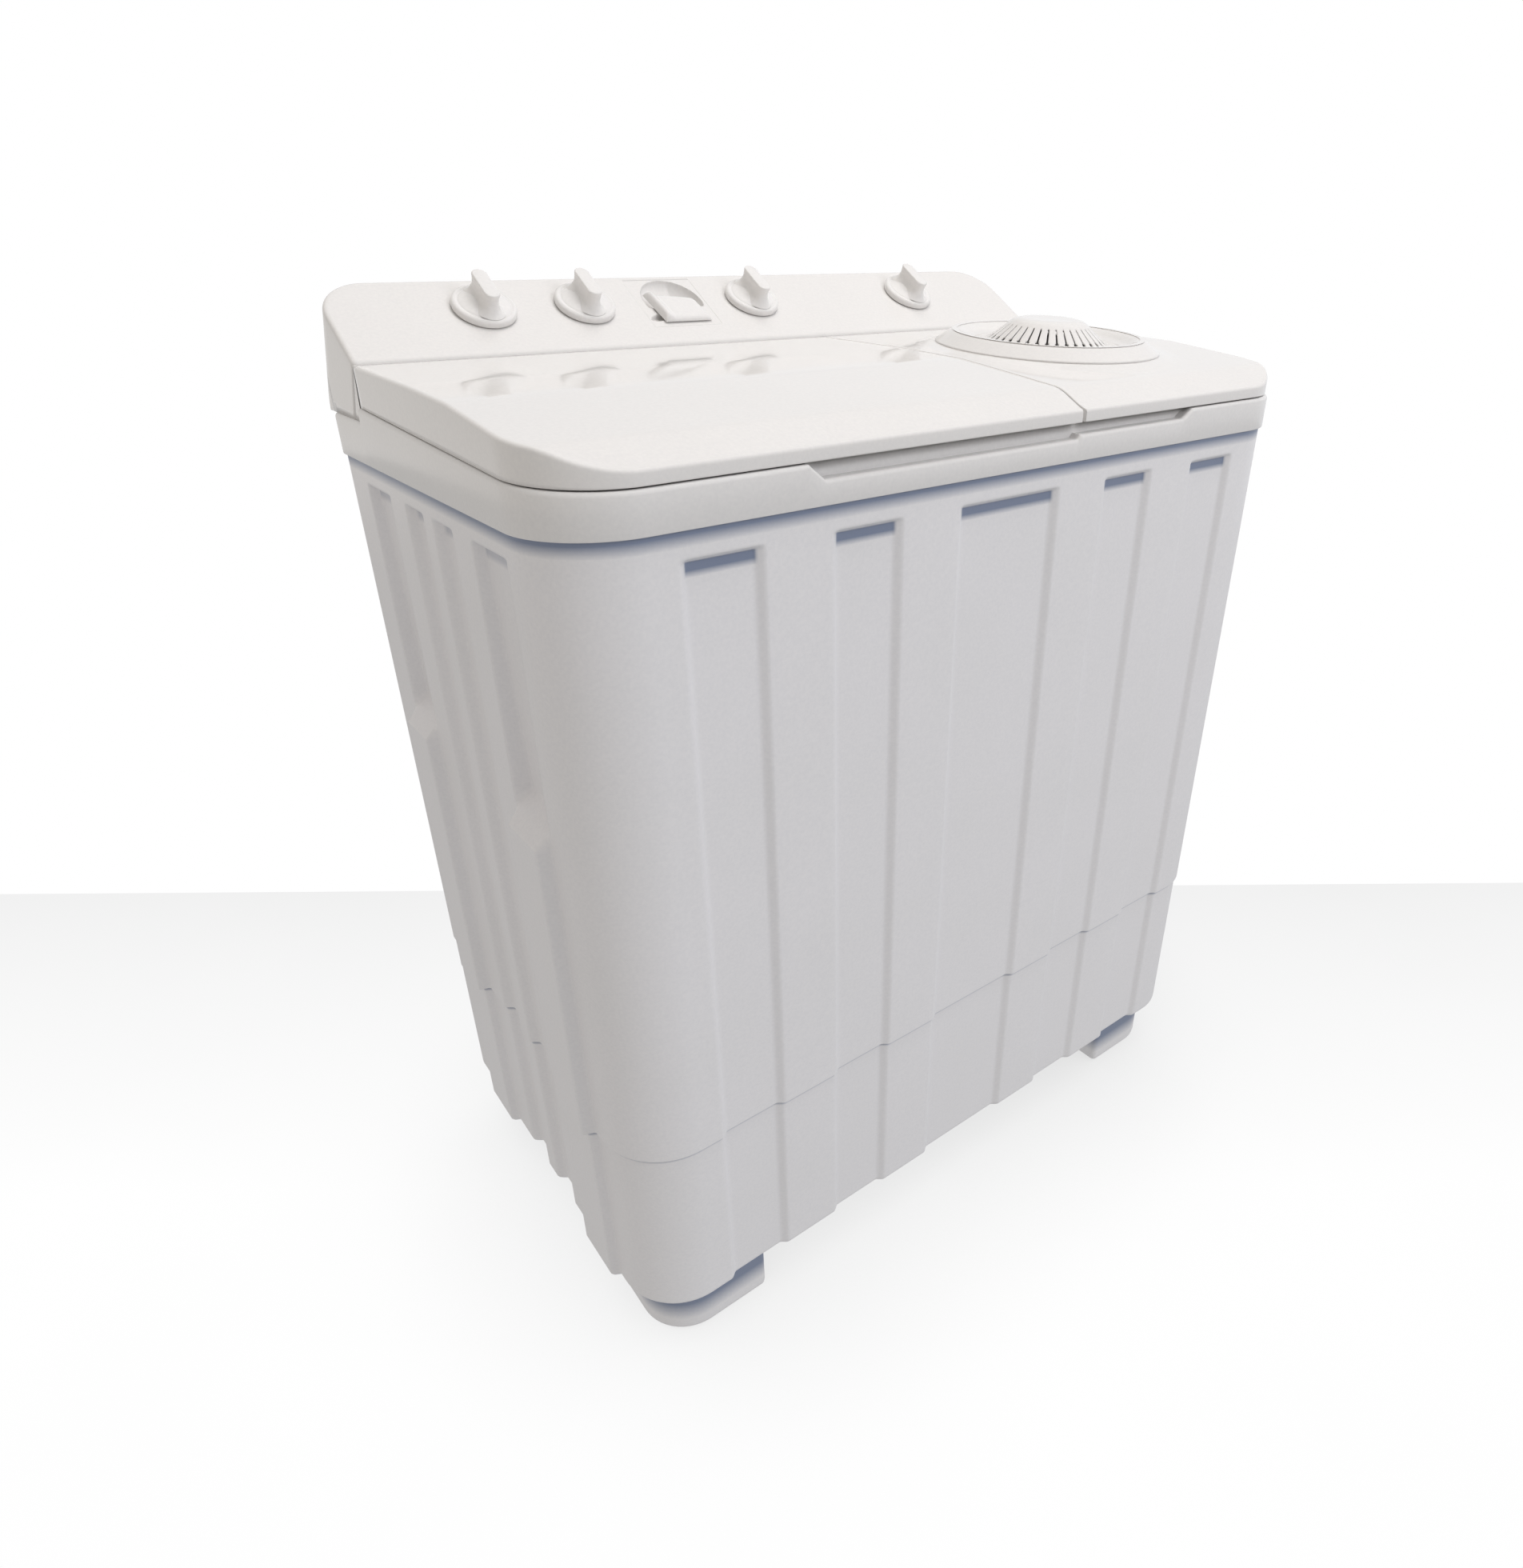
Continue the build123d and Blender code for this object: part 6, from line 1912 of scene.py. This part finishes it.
# ---- inner pieces --------------------------------------------------------------------------------
@dataclass(frozen=True)
class Pulsator:
    """The pulsator: a dish with swept vanes and a raised middle, over the CAD disc.

    Args:
        vanes: How many vanes.
        sweep: How far a vane turns from the middle to the rim, radians.
        breadth: Half breadth of a vane.
    """

    vanes: int = 6
    sweep: float = 0.75
    breadth: float = 8.0

    def build(self) -> None:
        """Builds the closed disc: a flat underside, then the rim and the top.

        The top is a dish profile plus, for each vane, a ridge exp(-(d / breadth)^2) where d is the arc
        distance to the swept line angle = sweep * r / R.
        """
        box = Extent.of("pulsator")
        rim = box.size[0] / 2
        angles = np.linspace(0, 2 * np.pi, 288, endpoint=False)
        r = np.linspace(rim - 1.5, 9.0, 76)[:, None]
        dish = soft_interp(r, (0.0, 22.0, 40.0, 70.0, rim - 8, rim), (29.0, 28.6, 20.0, 11.0, 7.0, 4.5), 5.0)
        crest = soft_interp(r, (16.0, 30.0, 90.0, rim - 14, rim - 6), (0.0, 4.0, 13.5, 9.0, 0.0), 4.0)
        turn = (angles[None] - self.sweep * r / rim) % (2 * np.pi / self.vanes)
        off = np.minimum(turn, 2 * np.pi / self.vanes - turn) * r
        top = np.minimum(dish + np.clip(crest, 0, None) * np.exp(-((off / self.breadth) ** 2)), 29.8)
        low, centre = box.low[2], box.middle
        rows = [ring_points(radius, angles, low + height, centre) for radius, height in
                ((10.0, 0.0), (rim - 2, 0.0), (rim - 0.4, 0.6), (rim, 2.0), (rim - 0.4, 3.6))]
        grid = np.concatenate([np.stack(rows), ring_points(r, angles[None], low + top, centre)])
        sheet = Sheet("pulsator_disc").grid(grid, wrap_v=True)
        sheet.fan(grid[0], grid[0].mean(axis=0)).fan(grid[-1], grid[-1].mean(axis=0))
        sheet.build("pulsator", Look.PULSATOR.value, ("pulsator",), crease=70)


# ---- studio --------------------------------------------------------------------------------------
@dataclass(frozen=True)
class Studio:
    """A pale sheet on white ground, a soft ceiling, lights from the right and the left, and the camera.

    Args:
        stand: Where the camera stands, metres.
        yaw: How far it turns from straight ahead, radians.
        pitch: How far it looks down, radians.
        roll: How far it leans, radians.
        lens: Focal length, millimetres.
        shift: Shift of the lens.
        sheet_far: How far from the camera the sheet's far edge lies.
    """

    stand: tuple = (-0.6269, -0.8040, 0.9603)
    yaw: float = math.radians(37.4)
    pitch: float = math.radians(27.43)
    roll: float = math.radians(-0.43)
    lens: float = 22.965
    shift: tuple = (-0.0429, -0.0056)
    sheet_far: float = 1.43

    def camera(self) -> None:
        """Sets the camera from its stand and its three turns."""
        level = math.cos(self.pitch)
        forward = np.array([math.sin(self.yaw) * level, math.cos(self.yaw) * level, -math.sin(self.pitch)])
        across = np.array([math.cos(self.yaw), -math.sin(self.yaw), 0.0])
        up = np.cross(across, forward)
        right = math.cos(self.roll) * across + math.sin(self.roll) * up
        up = -math.sin(self.roll) * across + math.cos(self.roll) * up
        data = bpy.data.cameras.new("camera")
        data.lens, data.sensor_width, data.clip_start = self.lens, 36.0, 0.01
        data.shift_x, data.shift_y = self.shift
        camera = bpy.data.objects.new("camera", data)
        bpy.context.scene.collection.objects.link(camera)
        camera.matrix_world = Matrix([
            [right[0], up[0], -forward[0], self.stand[0]], [right[1], up[1], -forward[1], self.stand[1]],
            [right[2], up[2], -forward[2], self.stand[2]], [0, 0, 0, 1],
        ])
        bpy.context.scene.camera = camera

    @staticmethod
    def ramp(world: bpy.types.World, value: bpy.types.NodeSocket, span: tuple) -> bpy.types.NodeSocket:
        """Maps a value of the world's tree from one span to another, clamped.

        Args:
            world: World whose tree it joins.
            value: Socket to read.
            span: From low, from high, result at low and result at high.

        Returns:
            The result socket.
        """
        node = world.node_tree.nodes.new("ShaderNodeMapRange")
        for index, number in enumerate(span, start=1):
            node.inputs[index].default_value = number
        world.node_tree.links.new(value, node.inputs[0])
        return node.outputs[0]

    def world(self) -> None:
        """White to the camera; as light, a grey that grows towards the zenith and is warm on the left."""
        world = bpy.data.worlds.new("studio")
        world.use_nodes = True
        bpy.context.scene.world = world
        nodes, links = world.node_tree.nodes, world.node_tree.links
        nodes.clear()
        way = nodes.new("ShaderNodeTexCoord")
        part = nodes.new("ShaderNodeSeparateXYZ")
        links.new(way.outputs["Generated"], part.inputs[0])
        height = self.ramp(world, part.outputs["Z"], (-0.1, 0.9, 0.36, 0.62))
        sides = self.ramp(world, part.outputs["Z"], (0.1, 0.55, 0.9, 0.6))
        ray = nodes.new("ShaderNodeLightPath")
        power = nodes.new("ShaderNodeMix")
        links.new(ray.outputs["Is Glossy Ray"], power.inputs[0])
        links.new(height, power.inputs[2])
        links.new(sides, power.inputs[3])
        side = self.ramp(world, part.outputs["X"], (-0.9, 0.3, 0.0, 1.0))
        tint = nodes.new("ShaderNodeMix")
        tint.data_type = "RGBA"
        links.new(side, tint.inputs[0])
        tint.inputs[6].default_value = (1.0, 0.95, 0.89, 1.0)
        tint.inputs[7].default_value = (0.98, 0.985, 1.0, 1.0)
        dim = nodes.new("ShaderNodeBackground")
        links.new(tint.outputs[2], dim.inputs["Color"])
        links.new(power.outputs[0], dim.inputs["Strength"])
        white = nodes.new("ShaderNodeBackground")
        white.inputs["Color"].default_value = (1.0, 1.0, 1.0, 1.0)
        mix = nodes.new("ShaderNodeMixShader")
        links.new(ray.outputs["Is Camera Ray"], mix.inputs[0])
        links.new(dim.outputs[0], mix.inputs[1])
        links.new(white.outputs[0], mix.inputs[2])
        out = nodes.new("ShaderNodeOutputWorld")
        links.new(mix.outputs[0], out.inputs[0])

    def light(self, name: str, place: tuple, aim: tuple, size: tuple, power: float, colour: tuple) -> None:
        """Adds one area light.

        Args:
            name: Its name.
            place: Where it hangs, metres.
            aim: What it faces.
            size: Width and height.
            power: Watts.
            colour: Its colour.
        """
        data = bpy.data.lights.new(name, "AREA")
        data.shape, data.size, data.size_y = "RECTANGLE", *size
        data.energy, data.color = power, colour
        lamp = bpy.data.objects.new(name, data)
        lamp.location = place
        lamp.visible_glossy = False
        lamp.rotation_euler = (Vector(aim) - Vector(place)).to_track_quat("-Z", "Y").to_euler()
        bpy.context.scene.collection.objects.link(lamp)

    def floor(self) -> None:
        """White ground with a pale sheet whose straight far edge lies square to the view, fading forward. The
        floor glows: to the camera it shows its tone with shade painted round the washer from ambient
        occlusion, to other rays a dim even light.
        """
        graph = Graph("studio_floor")
        part = graph.add("ShaderNodeSeparateXYZ", {"Vector": graph.place()})
        cos, sin = math.cos(self.yaw), math.sin(self.yaw)
        along_x = graph.maths("MULTIPLY", part.outputs["X"], sin)
        ahead = graph.maths("ADD", along_x, graph.maths("MULTIPLY", part.outputs["Y"], cos))
        stand = self.stand[0] * sin + self.stand[1] * cos
        far = stand + self.sheet_far
        fade = graph.fit(ahead, far - 0.62, far, 1.0, 0.885)
        cloud = graph.fit(graph.noise(3.0, 3.0), 0.3, 0.7, 0.0, 0.008)
        beyond = graph.fit(ahead, far, far + 0.002, 0.0, 1.0)
        tone = graph.maths("MAXIMUM", graph.maths("SUBTRACT", fade, cloud), beyond)
        # painted shade: the glowing floor takes no real light, so it is darkened where the washer is near
        near = graph.add("ShaderNodeAmbientOcclusion", {"Distance": 0.3}, samples=8).outputs["AO"]
        shade = graph.fit(near, 0.0, 0.9, 0.74, 1.0)
        seen = graph.maths("MULTIPLY", tone, shade)
        ray = graph.add("ShaderNodeLightPath").outputs["Is Camera Ray"]
        power = graph.add("ShaderNodeMix", {0: ray, 2: 0.52, 3: seen}, data_type="FLOAT").outputs[0]
        shader = graph.add("ShaderNodeEmission", {"Color": (1.0, 1.0, 1.0, 1.0), "Strength": power})
        sheet = bpy.data.meshes.new("floor")
        turn = np.linspace(0, 2 * np.pi, 96, endpoint=False)
        ring = np.column_stack([4.0 * np.cos(turn), 4.0 * np.sin(turn), np.full(96, -0.0004)])
        sheet.from_pydata(ring.tolist(), [], [list(range(96))])
        floor = bpy.data.objects.new("floor", sheet)
        floor.data.materials.append(graph.finish(shader))
        bpy.context.scene.collection.objects.link(floor)

    def build(self) -> None:
        """Sets up the whole studio."""
        bpy.context.scene.view_settings.view_transform = "Standard"
        self.camera()
        self.world()
        self.floor()
        self.light("ceiling", (0.5, -0.1, 3.4), (0.1, 0.0, 0.8), (2.2, 1.2), 36.0, (1.0, 0.975, 0.95))
        self.light("front_right", (1.5, -3.2, 2.6), (0.0, 0.0, 0.5), (1.4, 1.8), 43.0, (0.95, 0.955, 1.0))
        self.light("left_warm", (-3.4, 0.2, 1.2), (0.0, 0.0, 0.5), (1.2, 1.2), 5.0, (1.0, 0.88, 0.76))


# ---- the carried-over pieces ---------------------------------------------------------------------
def dress_frame(frame: dict) -> None:
    """Gives every CAD node the finish of its slot.
    """
    for part in frame["record"]["subparts"]:
        piece = frame["nodes"][part["node"]]
        piece.data.materials.clear()
        piece.data.materials.append(Look.by_slot(part["material_slot"]).material())


def main() -> None:
    """Builds the washer in order."""
    logging.basicConfig(level=logging.INFO, format="%(message)s")
    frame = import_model()
    dress_frame(frame)
    Casing().build()
    TopFrame().build()
    Lid("wash_lid", "wash_lid", -1).build("wash_lid_shell")
    Lid("spin_lid", "spin_lid", 1, vent=(225.0, -60.0, 106.0)).build("spin_lid_shell")
    Grille().build()
    ControlBox().build()
    Pulsator().build()
    Studio().build()


if __name__ == "__main__":
    main()
